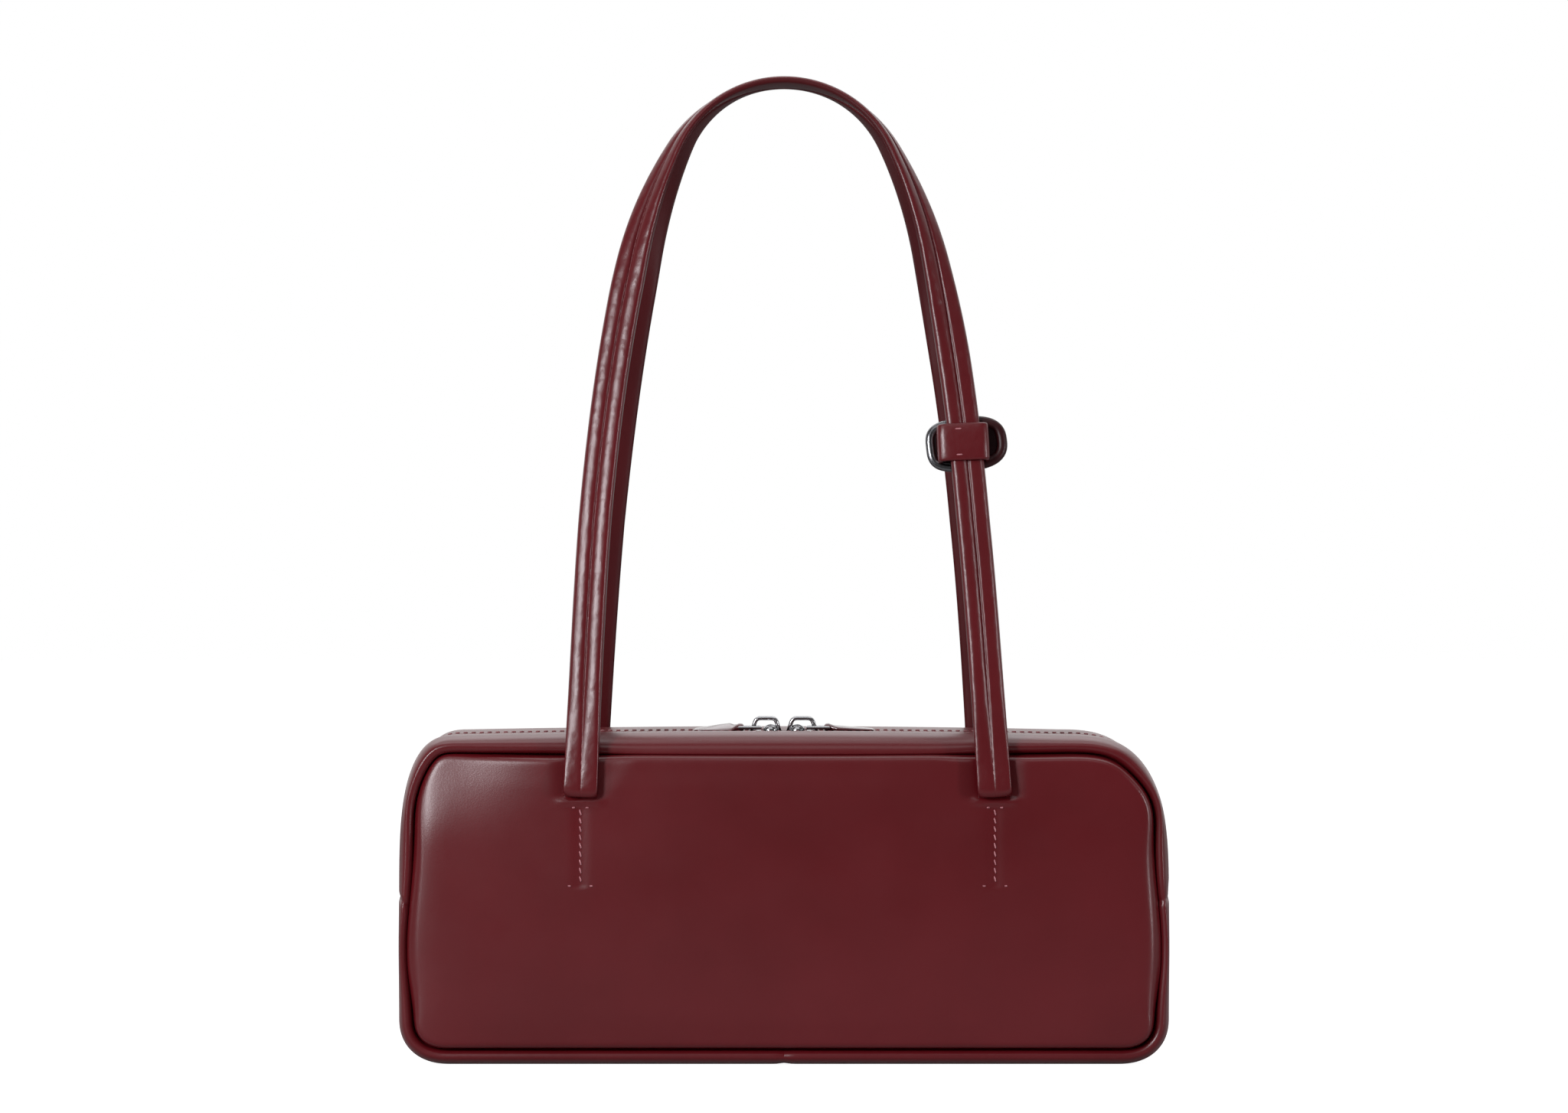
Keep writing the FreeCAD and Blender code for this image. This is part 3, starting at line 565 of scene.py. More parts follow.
# Cross seams: mark on the loop, depth, width and slant over the roll
SEAM_CREASES = ((RIGHT_SEAM, 0.45, 1.5, 0.3), (LEFT_SEAM, 0.5, 1.3, -0.75), (BASE_MIDDLE, 0.4, 2.0, 0.0))
CREASE_REACH = 20.0


def creased(section, index):
    """The section drawn in where a cross seam is sewn."""
    rim = RIM[index]
    for mark, deep, width, slant in SEAM_CREASES:
        away = LOOP[index] - LOOP[mark]
        if np.linalg.norm(away) > CREASE_REACH:
            continue
        pull = deep * bell(away @ TANGENT[mark] - slant * section[:, 1], width)
        section[:, 0] -= np.sign(section[:, 0]) * 1.8 * pull * smoothstep(section[:, 1] / rim)
        section[:, 1] += pull * smoothstep((rim - section[:, 1]) / rim)
    return section


def base_section(index):
    """Front roll, flat and rear roll, the flat drawn in a little on the sides."""
    front = roll_section(-1, index)
    rear = roll_section(1, index)[::-1]
    flat_y = np.linspace(front[-1, 0], rear[0, 0], 15)[1:-1]
    hollow = SIDE_HOLLOW * SIDE_SHARE[index] * np.cos(flat_y / (RIM_FRONT - ROLL_DEPTH) * math.pi / 2) ** 2
    flat = np.stack([flat_y, hollow], 1)
    return creased(np.concatenate([front, flat, rear]), index)


# The strip's edge at the zip, from its top round to its underside: beyond the window and depth
STRIP_EDGE = ((0.5, 1.15), (0.1, 1.5), (0.0, 2.0), (0.2, 2.5), (0.8, 2.8), (8.0, 2.9))


def strip_section(side):
    """One side's roll, then its flat, which falls a little to a rounded edge beside the zip."""
    def section_at(index):
        roll = roll_section(side, index)
        flat_y = np.linspace(roll[-1, 0], side * (ZIP_WINDOW + 1.2), 9)[1:]
        share = (flat_y - flat_y[-1]) / (roll[-1, 0] - flat_y[-1])
        flat = np.stack([flat_y, (1 - share) ** 2], 1)
        edge = np.array([(side * (ZIP_WINDOW + beyond), depth) for beyond, depth in STRIP_EDGE])
        return creased(np.concatenate([roll, flat, edge]), index)
    return section_at


def build_body():
    for side, word in FACINGS:
        points, faces = panel_mesh(side)
        piece = add_mesh(word + "_panel_leather", points, faces, body_leather)
        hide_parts(word + "_panel", word + "_welt", word + "_stiffener", word + "_left_tail",
                    word + "_right_tail", "tail_patches")
        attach(piece, "bag")
    for start, end, word in ((RIGHT_SEAM, BASE_MIDDLE, "right"), (BASE_MIDDLE, LEFT_SEAM, "left")):
        points, faces = grid(swept(stretch(start, end), base_section))
        piece = add_mesh(word + "_base_leather", points, faces, body_leather)
        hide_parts(word + "_base_gusset", "base_board")
        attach(piece, "bag")


# Zip: a tape and a row of teeth on each side, and a sewn line on each strip


# Across from the middle of the zip, from the tape's outer edge to its inner one
TAPE_ACROSS = np.array([14.0, 6.2, 5.4, 4.7, 3.2])
TAPE_HALF = 0.25
TOOTH_ROOT = 3.4
TOOTH_HEAD = -0.9
SHORT_HEAD = 1.3
TOOTH_HALF_HEIGHT = 1.2
STRIP_STITCH_DEPTH = 0.62
STRIP_STITCH_HALF = 0.9
STRIP_STITCH_Y = ZIP_WINDOW + 3.0
WEDGE_NEAR = 6.4
WEDGE_END_NEAR = 2.2


def chain_depth(x, z):
    """How deep the zip's chain lies below the loop: level along the top, then steady round the corners."""
    past = rising(np.abs(x), 108, 10)
    return (z - CHAIN_Z) * (1 - past) + CHAIN_DEPTH * past


def tape_section(side):
    """One side's tape: at one depth under the strip, then at the height of the chain."""
    def section_at(index):
        chain = chain_depth(*LOOP[index])
        middle = np.array([CHAIN_DEPTH, CHAIN_DEPTH, max(chain, CHAIN_DEPTH - 0.2), chain, chain])
        above = np.stack([side * TAPE_ACROSS, middle - TAPE_HALF], 1)
        below = np.stack([side * TAPE_ACROSS, middle + TAPE_HALF], 1)
        return np.concatenate([above, below[::-1]])
    return section_at


def tooth_at(place, normal, along, side):
    """One tooth on the loop; its head stops short of the middle where a slider's wedge can stand."""
    from_middle = abs(place[0])
    wedge_near = from_middle < WEDGE_NEAR or abs(from_middle - WEDGE_END_X) < WEDGE_END_NEAR
    head = SHORT_HEAD if wedge_near else TOOTH_HEAD
    outline = ((-0.65, TOOTH_ROOT), (0.65, TOOTH_ROOT), (0.5, head + 2.1), (0.75, head + 1.1),
               (0.5, head), (-0.5, head), (-0.75, head + 1.1), (-0.5, head + 2.1))
    chain = chain_depth(*place)
    points = []
    for depth in (chain - TOOTH_HALF_HEIGHT, chain + TOOTH_HALF_HEIGHT):
        for step, across in outline:
            x, z = place - normal * depth + along * step
            points.append((x, side * across, z))
    count = len(outline)
    faces = [list(range(count)), list(range(2 * count - 1, count - 1, -1))]
    for index in range(count):
        beside = (index + 1) % count
        faces.append([index, count + index, count + beside, beside])
    return points, faces


def path_length(path):
    """The length along a path at each of its points."""
    return np.concatenate([[0], np.cumsum(np.linalg.norm(np.diff(path, axis=0), axis=1))])


def read_off(at, length, values):
    """Values given at each point of a path, read off at a length along it."""
    return np.array([np.interp(at, length, column) for column in values.T])


def walk(indices, pitch, first):
    """Places at a steady pitch along part of the loop, each with its normal and its direction."""
    length = path_length(LOOP[indices])
    places = []
    for at in np.arange(first, length[-1], pitch):
        normal = unit(read_off(at, length, NORMAL[indices]))
        places.append((read_off(at, length, LOOP[indices]), normal, np.array([normal[1], -normal[0]])))
    return places


def tooth_row(run, hand, side):
    """Teeth at a steady pitch; the rear row lies half a pitch off the front one, so that the two mesh."""
    first = TOOTH_PITCH * (0.5 if side < 0 else 0.5 - 0.5 * hand)
    row = Pile()
    for place in walk(run, TOOTH_PITCH, first):
        row.add(*tooth_at(*place, side))
    return row


def strip_stitches(run, side):
    """A sewn line along the strip, beside the zip."""
    sewn = Pile()
    for place, normal, along in walk(run, STITCH_PITCH, 2.0):
        ends = []
        for step in (-STRIP_STITCH_HALF, STRIP_STITCH_HALF):
            x, z = place - normal * STRIP_STITCH_DEPTH + along * step
            ends.append((x, side * STRIP_STITCH_Y, z))
        sewn.add(*capsule(*ends, STITCH_RADIUS))
    return sewn


def mouth_blend(piece):
    """Bakes the piece's placement into its mesh."""
    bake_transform(piece)


def build_zip():
    for hand, word_hand in ((1, "right"), (-1, "left")):
        run = stretch(TOP_MIDDLE, RIGHT_SEAM) if hand > 0 else stretch(LEFT_SEAM, TOP_MIDDLE)[::-1]
        for side, word in FACINGS:
            flip = (hand * side) > 0
            name = word + "_" + word_hand
            points, faces = grid(swept(run, strip_section(side)), flip=flip)
            strip = add_mesh(name + "_zip_leather", points, faces, body_leather)
            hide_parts(name + "_zip_gusset", word + "_mouth_strip")
            mouth_blend(strip)
            points, faces = grid(swept(run, tape_section(side)), close_columns=True, flip=flip)
            tape = add_mesh(name + "_zip_tape", points, faces, zip_tape, smooth=False)
            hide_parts(word_hand + "_end_tapes", word + "_mouth_tape")
            mouth_blend(tape)
            stitches = strip_stitches(run, side).piece(name + "_zip_stitches", strap_thread)
            mouth_blend(stitches)
            teeth = tooth_row(run, hand, side).piece(name + "_zip_teeth", zip_teeth, smooth=False)
            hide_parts(word_hand + "_end_teeth", word + "_mouth_teeth")
            mouth_blend(teeth)


# Lining: a loose inner shell, seen when the mouth is open


LINING_GAP = 3.5
LINING_Y = 32.8
GUSSET_LINING_TOP = 112.0
SHEET_TOP = 112.5
SHEET_CORE_HALF = 84.0
SHEET_CORE_Z = 62.0


def build_lining():
    inner = inward(RIM + LINING_GAP)
    y = np.linspace(-LINING_Y, LINING_Y, 25)
    rows = []
    for index in np.flatnonzero(LOOP_Z < GUSSET_LINING_TOP):
        x, z = inner[index]
        wave = 0.5 * np.sin(y / 6 + x / 17 + z / 13)
        rows.append(np.stack([x - NORMAL[index, 0] * wave, y, z - NORMAL[index, 1] * wave], 1))
    points, faces = grid(np.stack(rows), flip=True)
    gusset = add_mesh("gusset_lining_cloth", points, faces, lining_cloth)
    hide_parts("gusset_lining")
    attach(gusset, "bag")
    ring = np.stack([inner[:, 0], np.minimum(inner[:, 1], SHEET_TOP)], 1)
    core = core_line(ring[:, 0], SHEET_CORE_HALF, SHEET_CORE_Z)
    for side, word in FACINGS:
        rows = []
        for share in np.linspace(0, 1, 40):
            x, z = (ring * (1 - share) + core * share).T
            wave = 0.6 * np.sin(x / 15) * np.sin(z / 21) * smoothstep(share * 6)
            rows.append(np.stack([x, side * (LINING_Y - np.abs(wave)), z], 1))
        points, faces = grid(np.stack(rows), close_columns=True, flip=side > 0)
        sheet = add_mesh(word + "_lining_cloth", points, faces, lining_cloth)
        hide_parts(word + "_lining")
        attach(sheet, "bag")


# Handles: made upright in the handle's own plane, x across, y back and z up from the hinge


LEG_LEAN = math.radians(3.2)
SHOULDER_LEAN = math.radians(12.0)
CROWN_LEAN = math.radians(28.0)
SHOULDER_RADIUS = 172.0
# How each leg turns flat over the crown: height where it starts, power, and glance in degrees below it
STRAP_TURNS = {-1: (200.0, 1.3, -12.0), 1: (172.0, 1.15, 7.0)}
CROWN_SLIMMING = 0.2
SHIFT_END = 110.0
# The strap's section, across its front and then back across its rear
FRONT_BROAD = np.concatenate([np.linspace(-STRAP_HALF, -4.6, 5), np.linspace(-3.8, -0.7, 6),
                              [-0.3, 0.0, 0.3],
                              np.linspace(0.7, 3.8, 6), np.linspace(4.6, STRAP_HALF, 5)])
BACK_BROAD = np.linspace(6.4, -6.4, 13)
STRAP_FACE = 2.0
VALLEY_DEPTH = 1.8
LOBE_MIDDLE = 3.2
LOBE_HALF = 3.34
LOBE_POWER = 2.6
TIGHT_POWER = 5.0
TAIL_TUCK = np.array([0, 5.0, 0.2])
SEWN_FROM_END = 9.0
SEWN_HEIGHT = 1.84
SEWN_SINK = 1.22
STITCH_SHARE = 0.62


def half_arch(steps, crown_radius):
    """Points x, z and lean down the right half of the arch, from crown to base."""
    x, z = 0.0, HANDLE_LENGTH
    points = []
    spans = ((crown_radius, math.pi / 2, CROWN_LEAN), (SHOULDER_RADIUS, CROWN_LEAN, SHOULDER_LEAN))
    for radius, start, end in spans:
        lean = np.linspace(start, end, steps)[:-1]
        points.append(np.stack([x + radius * (np.cos(lean) - np.cos(start)),
                                z - radius * (np.sin(start) - np.sin(lean)), lean], 1))
        x = x + radius * (math.cos(end) - math.cos(start))
        z = z - radius * (math.sin(start) - math.sin(end))
    start, end = np.array([x, z]), np.array([SLIT_X, 0.0])
    reach = np.linalg.norm(end - start) / 3
    first = start + reach * np.array([math.sin(SHOULDER_LEAN), -math.cos(SHOULDER_LEAN)])
    second = end - reach * np.array([math.sin(LEG_LEAN), -math.cos(LEG_LEAN)])
    share = np.linspace(0, 1, 4 * steps)[:, None]
    leg = ((1 - share) ** 3 * start + 3 * (1 - share) ** 2 * share * first
           + 3 * (1 - share) * share ** 2 * second + share ** 3 * end)
    along = np.gradient(leg, axis=0)
    points.append(np.column_stack([leg, np.arctan2(along[:, 0], -along[:, 1])]))
    return np.concatenate(points)


def lobe_share(z):
    """The strap is flatter at its foot: how much of the lobes' height is there."""
    return 0.16 + 0.84 * smoothstep(z / 60)


def strap_profile(place):
    """Two rounded lobes with a valley, tighter on the right leg's outer lobe, and a nearly flat back."""
    tight = (FRONT_BROAD > 0) & (FRONT_BROAD < LOBE_MIDDLE)
    power = LOBE_POWER + np.where(tight, TIGHT_POWER * smoothstep(place[0] / 40), 0)
    from_lobe = np.abs((np.abs(FRONT_BROAD) - LOBE_MIDDLE) / LOBE_HALF)
    lobe = np.clip(1 - from_lobe ** power, 0, 1) ** 0.5
    front = STRAP_FACE - VALLEY_DEPTH * lobe_share(place[2]) * (1 - lobe)
    swell = np.sqrt(np.clip(1 - (BACK_BROAD / STRAP_HALF) ** 2, 0, 1)) ** 0.6
    back = -0.5 - 1.4 * swell
    return np.column_stack([np.concatenate([FRONT_BROAD, BACK_BROAD]), np.concatenate([front, back])])


def strap_frames(crown_radius, sway, steps=26):
    """Stations along the strap from the left slit to the right one: place, broad and thin directions."""
    half = half_arch(steps, crown_radius)
    half = half[half[:, 1] > STRAP_FOOT]
    stations = [(*station, -1) for station in half[::-1]] + [(*station, 1) for station in half[1:]]
    forward = np.array([0, -1.0, 0])
    frames = []
    for x, z, lean, side in stations:
        start, power, glance = STRAP_TURNS[side]
        share = min(1.0, max(0.0, (z - start) / (HANDLE_LENGTH - start)))
        crown = smoothstep(share)
        glance = math.radians(glance) * rising(z, 4, 40) * (1 - crown)
        turn = math.radians(90.0) * share ** power + side * glance
        outward = np.array([side * math.cos(lean), 0, math.sin(lean)])
        broad = outward * math.cos(turn) - forward * math.sin(turn)
        thin = forward * math.cos(turn) + outward * math.sin(turn)
        tuck = 1 - rising(z, STRAP_FOOT, 3.0)
        shift = STRAP_SHIFT * max(0.0, 1 - z / SHIFT_END)
        shift = shift + sway * math.sin(math.pi * min(1, z / HANDLE_LENGTH))
        place = np.array([side * x + shift, tuck + CROWN_GATHER * crown, z])
        size = 1 - CROWN_SLIMMING * crown
        frames.append((place, broad * size, thin * size))
    return frames


def leant(points, side):
    """From the front handle's own upright plane into the bag's frame, mirrored for the rear handle."""
    points = np.asarray(points, float)
    cosine, sine = math.cos(HANDLE_RECLINE), math.sin(HANDLE_RECLINE)
    y = points[..., 1] * cosine + points[..., 2] * sine - HANDLE_Y
    z = points[..., 2] * cosine - points[..., 1] * sine + HANDLE_Z
    return np.stack([points[..., 0], -side * y, z], -1)


def strap_rows(frames):
    """The section at each station, with rounded feet, and a tail tucked behind the panel at both ends."""
    rows = []
    for place, broad, thin in frames:
        profile = strap_profile(place)
        row = place + profile[:, :1] * broad + profile[:, 1:] * thin
        near_foot = 1 - rising(place[2], STRAP_FOOT, 3.5)
        row[:, 2] += FOOT_ROUNDING * near_foot * (np.abs(profile[:, 0]) / STRAP_HALF) ** 5
        rows.append(row)
    foot = strap_profile(frames[-1][0])
    tails = []
    for place, broad, thin in (frames[0], frames[-1]):
        tails.append(place + TAIL_TUCK + 0.96 * foot[:, :1] * broad + 0.9 * foot[:, 1:] * thin)
    return np.stack([tails[0], *rows, tails[1]])


def strap_stitches(frames, side):
    """A sewn line along the valley between the lobes."""
    places = np.array([place for place, _, _ in frames])
    length = path_length(places)
    sewn = Pile()
    for first in np.arange(SEWN_FROM_END, length[-1] - SEWN_FROM_END, STITCH_PITCH):
        ends = []
        for at in (first, first + STITCH_SHARE * STITCH_PITCH):
            spot = read_off(at, length, places)
            _, _, thin = frames[int(np.argmin(np.abs(length - at)))]
            ends.append(spot + thin * (SEWN_HEIGHT - SEWN_SINK * lobe_share(spot[2])))
        sewn.add(*capsule(*leant(np.stack(ends), side), STITCH_RADIUS))
    return sewn


def build_handle(side, word, crown_radius, sway):
    frames = strap_frames(crown_radius, sway)
    points, faces = grid(leant(strap_rows(frames), side), close_columns=True, flip=side < 0)
    strap = add_mesh(word + "_strap", points, faces, strap_leather)
    # The back faces take the darker copy of the strap leather, which is painted shade
    strap.data.materials.append(strap_back_painted_shade)
    around = len(FRONT_BROAD) + len(BACK_BROAD)
    for index, face in enumerate(strap.data.polygons):
        face.material_index = int(index % around >= len(FRONT_BROAD))
    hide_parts(word + "_handle")
    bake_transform(strap)
    stitches = strap_stitches(frames, side).piece(word + "_strap_stitches", strap_thread)
    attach(stitches, word + "_handle")


# Keeper: a band round the front strap, a plated ring behind it, a sleeve on the ring in leather darkened as
# painted shade, and a near-black fill inside the ring, which is painted shade


KEEPER_X = 69.755
KEEPER_Z = 140.164
KEEPER_LEAN = math.radians(6.5976)
BAND_LEAN = math.radians(2.5)
BAND_HALF_WIDTH = 10.0
BAND_HALF_DEPTH = 5.5
BAND_SET_BACK = 1.3
# Half of the band's edge, from the inside out: height up the strap and how far it is drawn in
BAND_EDGE = ((7.0, 1.8), (7.3, 1.3), (7.3, 0.6), (7.0, 0.15), (6.4, 0.0), (3.0, -0.1))
BAND_MIDDLE = (0.0, -0.15)
RING_SHIFT = 1.4
RING_FORWARD = -4.2
# Steps of the ring's path that the sleeve covers, and where it starts before the ring's outer end
SLEEVE_STEPS = 41
SLEEVE_START = 20
# The painted shade fill from front to back: how far forward, and its share of the full size
SHADE_PAD_RINGS = ((-3.4, 0.1), (-3.4, 0.6), (-3.5, 0.92), (-4.0, 1.0), (-4.6, 1.0), (-5.1, 0.92), (-5.2, 0.1))


def on_strap(points, lean=KEEPER_LEAN):
    """From the keeper's own frame (across, forward, up the strap) into the bag's frame."""
    points = np.asarray(points, float)
    across, forward, up = points[..., 0], points[..., 1], points[..., 2]
    x = KEEPER_X + across * math.cos(lean) - up * math.sin(lean)
    z = KEEPER_Z + across * math.sin(lean) + up * math.cos(lean)
    return leant(np.stack([x, -forward, z], -1), -1)


def rounded_loop(half_width, half_height, power_left, power_right, steps=72):
    """A rounded oblong, with its own squareness on each end."""
    turn = circle(steps)
    power = np.where(np.cos(turn) < 0, power_left, power_right)
    x = half_width * signed_power(np.cos(turn), 2 / power)
    z = half_height * signed_power(np.sin(turn), 2 / power)
    return np.stack([x, z], 1)


def swept_bar(path, normals, half_width, half_depth, middle, closed=False, sides=12):
    """A rounded bar along a path of across and up, standing at middle forward."""
    turn = circle(sides)
    rings = []
    for place, normal in zip(path, normals):
        flat = place + normal * (half_width * np.cos(turn))[:, None]
        rings.append(np.stack([flat[:, 0], middle + half_depth * np.sin(turn), flat[:, 1]], 1))
    if closed:
        return grid(np.stack(rings), close_rows=True, close_columns=True)
    return tube(rings)


def path_normals(path):
    along = unit(np.gradient(path, axis=0))
    return np.stack([along[:, 1], -along[:, 0]], 1)


def build_band():
    loop = rounded_loop(BAND_HALF_WIDTH, BAND_HALF_DEPTH, power_left=5.0, power_right=5.0)
    stations = [(-up, draw) for up, draw in BAND_EDGE] + [BAND_MIDDLE, *BAND_EDGE[::-1]]
    rows = []
    for up, draw in stations:
        across, forward = (loop * np.array([1 - draw / BAND_HALF_WIDTH, 1 - draw / BAND_HALF_DEPTH])).T
        rows.append(np.stack([across, forward - BAND_SET_BACK, np.full(len(loop), up)], 1))
    points, faces = grid(np.stack(rows), close_rows=True, close_columns=True, flip=True)
    band = add_mesh("keeper_band_leather", on_strap(points, BAND_LEAN), faces, strap_leather)
    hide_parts("keeper_band")
    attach(band, "keeper")
    sewn = Pile()
    for up in (5.0, -5.2):
        sewn.add(*capsule(*on_strap([[-3.0, 4.3, up], [-0.6, 4.3, up]], BAND_LEAN), 0.32))
    stitches = sewn.piece("keeper_stitches", thread)
    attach(stitches, "keeper")


def build_ring():
    path = rounded_loop(half_width=14.0, half_height=8.7, power_left=3.4, power_right=2.7)
    normals = path_normals(np.concatenate([path[-2:], path, path[:2]]))[2:-2]
    path = path + np.array([RING_SHIFT, 0])
    points, faces = swept_bar(path, normals, half_width=1.8, half_depth=1.3, middle=RING_FORWARD,
                              closed=True)
    ring = add_mesh("keeper_ring_metal", on_strap(points), faces, ring_metal)
    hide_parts("keeper_ring")
    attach(ring, "keeper")
    outer, outer_normals = [np.roll(run, SLEEVE_START, 0)[:SLEEVE_STEPS] for run in (path, normals)]
    points, faces = swept_bar(outer, outer_normals, half_width=2.1, half_depth=1.7, middle=RING_FORWARD)
    # The sleeve takes the darkened leather, so its colour carries painted shade
    sleeve = add_mesh("keeper_sleeve", on_strap(points), faces, sleeve_painted_shade_leather)
    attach(sleeve, "keeper")


def build_shade_pad():
    across, up = rounded_loop(half_width=12.8, half_height=7.8, power_left=4.0, power_right=2.8, steps=48).T
    rows = []
    for forward, size in SHADE_PAD_RINGS:
        rows.append(np.stack([across * size + RING_SHIFT, np.full(len(up), forward), up * size], 1))
    points, faces = grid(np.stack(rows), close_columns=True)
    # A near-black fill across the ring's opening, which is painted shade
    shade_pad = add_mesh("keeper_shade_pad", on_strap(points), faces, painted_shade_fill)
    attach(shade_pad, "keeper")


# Sliders: rounded wire bridges, rounded bodies, and leather tabs that slope down on to the strips


SLIDER_X = 7.2
SLIDER_TOP = 128.7
BRIDGE_CORNERS = ((-5.4, -0.3), (-3.9, 5.0), (3.9, 5.0), (5.4, -0.3))
SADDLE_INWARD = 1.9
SADDLE_SINK = 0.2
# Half length, half width and height
SADDLE_SIZE = (3.1, 2.6, 2.9)
PIVOT_X = from_frame(joints["right_pull_swing"]["pos_m"][0])
LINK_LENGTH = 8.0
TAB_ROLLS = {-1: math.radians(21), 1: math.radians(4)}
TAB_RISE = 1.3
TAB_DROOP = 0.055
# A tab from its link out: distance, half width and half thickness
TAB_STATIONS = ((-1.7, 2.3, 0.3), (-1.5, 2.5, 1.1), (-0.9, 2.6, 1.6), (0.2, 2.7, 1.7), (1.4, 3.0, 1.3),
                (2.6, 3.6, 1.0), (4, 4.0, 0.9), (8, 4.1, 0.8), (13, 4.1, 0.7), (16.3, 3.9, 0.65),
                (17.4, 3.3, 0.6), (17.9, 2.4, 0.4), (18.0, 1.4, 0.2))


def rounded_path(corners, reach, steps=7):
    """An open path through corners, each cut by a smooth curve of the given reach."""
    corners = np.asarray(corners, float)
    points = [corners[0]]
    for before, corner, after in zip(corners[:-2], corners[1:-1], corners[2:]):
        start = corner + unit(before - corner) * reach
        end = corner + unit(after - corner) * reach
        for share in np.linspace(0, 1, steps):
            points.append((1 - share) ** 2 * start + 2 * share * (1 - share) * corner + share ** 2 * end)
    points.append(corners[-1])
    return np.array(points)


def build_bridge(hand, word):
    path = rounded_path(BRIDGE_CORNERS, reach=1.9)
    points, faces = swept_bar(path, path_normals(path), half_width=0.9, half_depth=1.3, middle=0.0)
    points = points + np.array([hand * SLIDER_X, 0, SLIDER_TOP])
    bridge = add_mesh(word + "_bridge_wire", points, faces, bright_metal)
    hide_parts(word + "_bridge")
    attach(bridge, word + "_slider")


def build_saddle(hand, word):
    """A half dome on the slider, which rounds off its flat body."""
    half_length, half_width, height = SADDLE_SIZE
    turn = circle(20)
    rings = []
    for rise in np.radians(np.linspace(0, 84, 7)):
        x = hand * (SLIDER_X - SADDLE_INWARD) + half_length * math.cos(rise) * np.cos(turn)
        y = half_width * math.cos(rise) * np.sin(turn)
        z = np.full_like(turn, SLIDER_TOP - SADDLE_SINK + height * math.sin(rise))
        rings.append(np.stack([x, y, z], 1))
    points, faces = tube(rings)
    saddle = add_mesh(word + "_slider_saddle", points, faces, bright_metal)
    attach(saddle, word + "_slider")


def build_tab(hand, word):
    turn = circle(20)
    rings = []
    for out, half, thick in TAB_STATIONS:
        y = half * signed_power(np.cos(turn), 0.6)
        z = thick * signed_power(np.sin(turn), 0.8)
        roll = TAB_ROLLS[hand] * rising(out, 1, 3) * (1 - 0.8 * rising(out, 4, 14))
        y, z = y * math.cos(roll) - z * math.sin(roll), z * math.cos(roll) + y * math.sin(roll)
        x = np.full_like(y, hand * (PIVOT_X + LINK_LENGTH + out))
        rings.append(np.stack([x, y, z + SLIDER_TOP + TAB_RISE - TAB_DROOP * max(0.0, out)], 1))
    points, faces = tube(rings, flip=hand > 0)
    tab = add_mesh(word + "_tab_leather", points, faces, tab_leather)
    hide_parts(word + "_pull_tab")
    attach(tab, word + "_pull")


# Sewn lines below the slits, which hold the strap tails


SEWN_START = 72.2
SEWN_END = 99.8
# Short cross stitches at the ends of each line: height and how far they stand to both sides
CROSS_STITCHES = ((100.8, 2.6), (70.6, 4.2))
WELL_INSIDE = 30.0
STITCH_LIFT = 0.2


def on_panel(x, z, side):
    """A place just above the panel's face."""
    return np.array([x, side * (panel_face(x, z, WELL_INSIDE) + STITCH_LIFT), z])


def build_panel_stitches():
    for side, word in FACINGS:
        sewn = Pile()
        for hand in (-1, 1):
            centre = hand * SLIT_X + STRAP_SHIFT
            for z in np.arange(SEWN_START, SEWN_END, STITCH_PITCH):
                ends = (on_panel(centre + 0.3, z, side), on_panel(centre - 0.3, z + 2.2, side))
                sewn.add(*capsule(*ends, 0.36))
            for z, reach in CROSS_STITCHES:
                for middle in (centre - reach, centre + reach):
                    ends = (on_panel(middle - 0.6, z, side), on_panel(middle + 0.6, z, side))
                    sewn.add(*capsule(*ends, 0.34))
        piece = sewn.piece(word + "_panel_stitches", thread)
        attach(piece, "bag")


# Camera, light and stage, in metres apart from the floor's corners


CAMERA_PLACE = (0, -1.57, 0.1977)
LENS = 91.0
SENSOR_WIDTH = 36.0
WORLD_LIGHT = 0.10
FLOOR_GLOW = 0.94
FLOOR_CORNERS = ((-2500, -450, 0), (2500, -450, 0), (2500, 6000, 0), (-2500, 6000, 0))
LAMP_COLOUR = (0.975, 0.97, 1.0)
LAMP_AIM = Vector((0, 0, 0.12))
# Name, place, width, height and power
LAMPS = (("key", (-0.80, -1.30, 0.60), 0.32, 0.40, 13.6),
         ("left", (-1.10, -0.95, 0.30), 0.12, 0.5, 2.8),
         ("right", (1.25, -0.75, 0.30), 0.12, 0.6, 5.8),
         ("top", (0.0, 0.15, 1.6), 1.8, 0.8, 7.0),
         ("back", (0.0, 1.6, 1.5), 2.4, 0.8, 6.2),
         ("front", (-0.1, -1.5, 1.9), 2.0, 0.9, 7.6))


def build_camera(scene):
    data = bpy.data.cameras.new("camera")
    data.lens = LENS
    data.sensor_width = SENSOR_WIDTH
    camera = bpy.data.objects.new("camera", data)
    camera.location = CAMERA_PLACE
    camera.rotation_euler = (math.pi / 2, 0, 0)
    scene.collection.objects.link(camera)
    scene.camera = camera


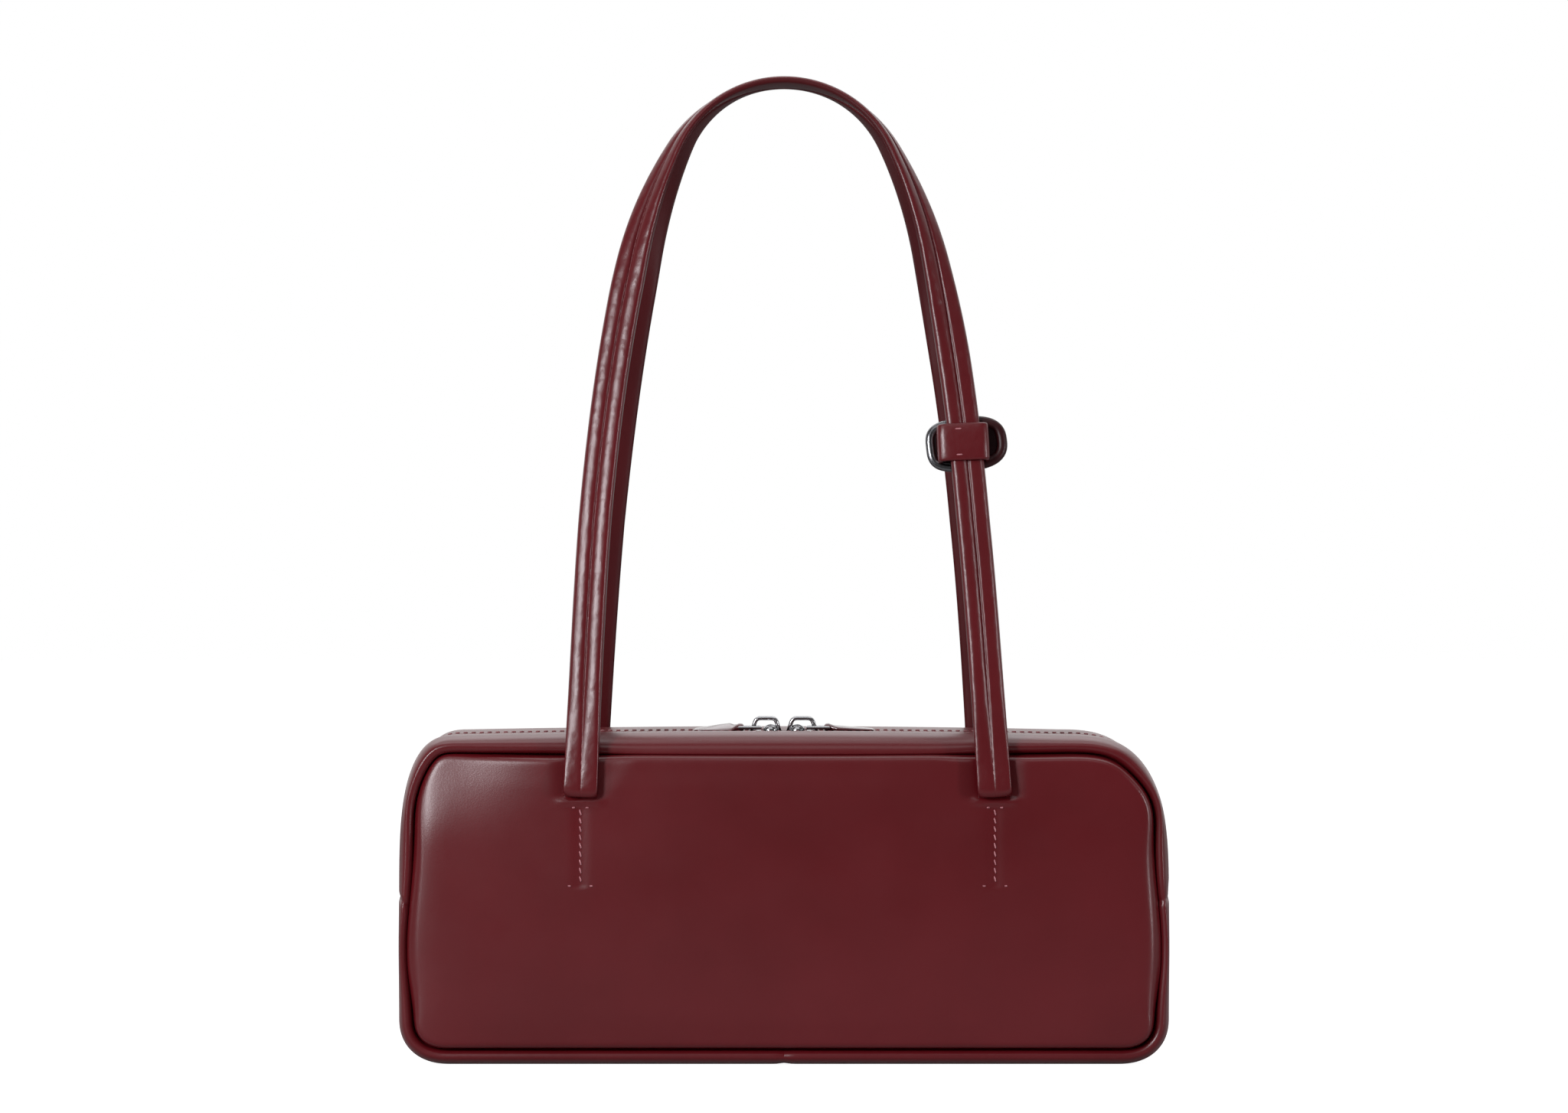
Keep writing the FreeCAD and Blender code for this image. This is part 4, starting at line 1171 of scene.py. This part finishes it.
def build_world(scene):
    """White to the camera and in mirrored rays that go behind the bag, and faint as a light."""
    world = bpy.data.worlds.new("studio")
    world.use_nodes = True
    nodes, links = world.node_tree.nodes, world.node_tree.links
    background = nodes["Background"]
    background.inputs["Color"].default_value = (1, 1, 1, 1)
    path = nodes.new("ShaderNodeLightPath")
    place = nodes.new("ShaderNodeTexCoord")
    split = nodes.new("ShaderNodeSeparateXYZ")
    links.new(place.outputs["Generated"], split.inputs["Vector"])
    behind = map_range(nodes, links, split.outputs["Y"], from_min=-0.25, from_max=0.35)
    mirrored = math_node(nodes, links, "MULTIPLY", path.outputs["Is Glossy Ray"], behind)
    camera, through = path.outputs["Is Camera Ray"], path.outputs["Is Transmission Ray"]
    direct = math_node(nodes, links, "MAXIMUM", camera, through)
    seen = math_node(nodes, links, "MAXIMUM", direct, mirrored)
    strength = map_range(nodes, links, seen, to_min=WORLD_LIGHT)
    links.new(strength, background.inputs["Strength"])
    scene.world = world


def build_floor():
    """A grey floor that takes the bag's shadow, and glows towards the camera."""
    surface = Surface("floor")
    surface.constant("Base Color", (0.5, 0.5, 0.5, 1))
    surface.constant("Roughness", 0.9)
    surface.constant("Specular IOR Level", 0.1)
    surface.constant("Emission Color", (1, 1, 1, 1))
    path = surface.nodes.new("ShaderNodeLightPath")
    glow = map_range(surface.nodes, surface.links, path.outputs["Is Camera Ray"], to_max=FLOOR_GLOW)
    surface.links.new(glow, surface.shader.inputs["Emission Strength"])
    floor = add_mesh("floor", FLOOR_CORNERS, [[0, 1, 2, 3]], surface.material, smooth=False)


def build_lamps(scene):
    for name, place, width, height, power in LAMPS:
        data = bpy.data.lights.new(name, "AREA")
        data.shape = "RECTANGLE"
        data.size = width
        data.size_y = height
        data.energy = power
        data.color = LAMP_COLOUR
        lamp = bpy.data.objects.new(name, data)
        lamp.location = place
        lamp.rotation_euler = (LAMP_AIM - Vector(place)).to_track_quat("-Z", "Y").to_euler()
        scene.collection.objects.link(lamp)


build_body()
build_zip()
build_lining()
build_handle(-1, "front", crown_radius=48.4, sway=0.0)
build_handle(1, "rear", crown_radius=45.0, sway=1.4)
build_band()
build_ring()
build_shade_pad()
for hand, word in ((-1, "left"), (1, "right")):
    build_bridge(hand, word)
    build_saddle(hand, word)
    build_tab(hand, word)
build_panel_stitches()

scene = bpy.context.scene
scene.view_settings.view_transform = "Standard"
build_camera(scene)
build_world(scene)
build_floor()
build_lamps(scene)

# The sliders and their links are shown as solids, in metal
for name in ("slider", "pull_link"):
    for hand in ("left", "right"):
        frame["nodes"][hand + "_" + name].data.materials.clear()
        frame["nodes"][hand + "_" + name].data.materials.append(bright_metal)
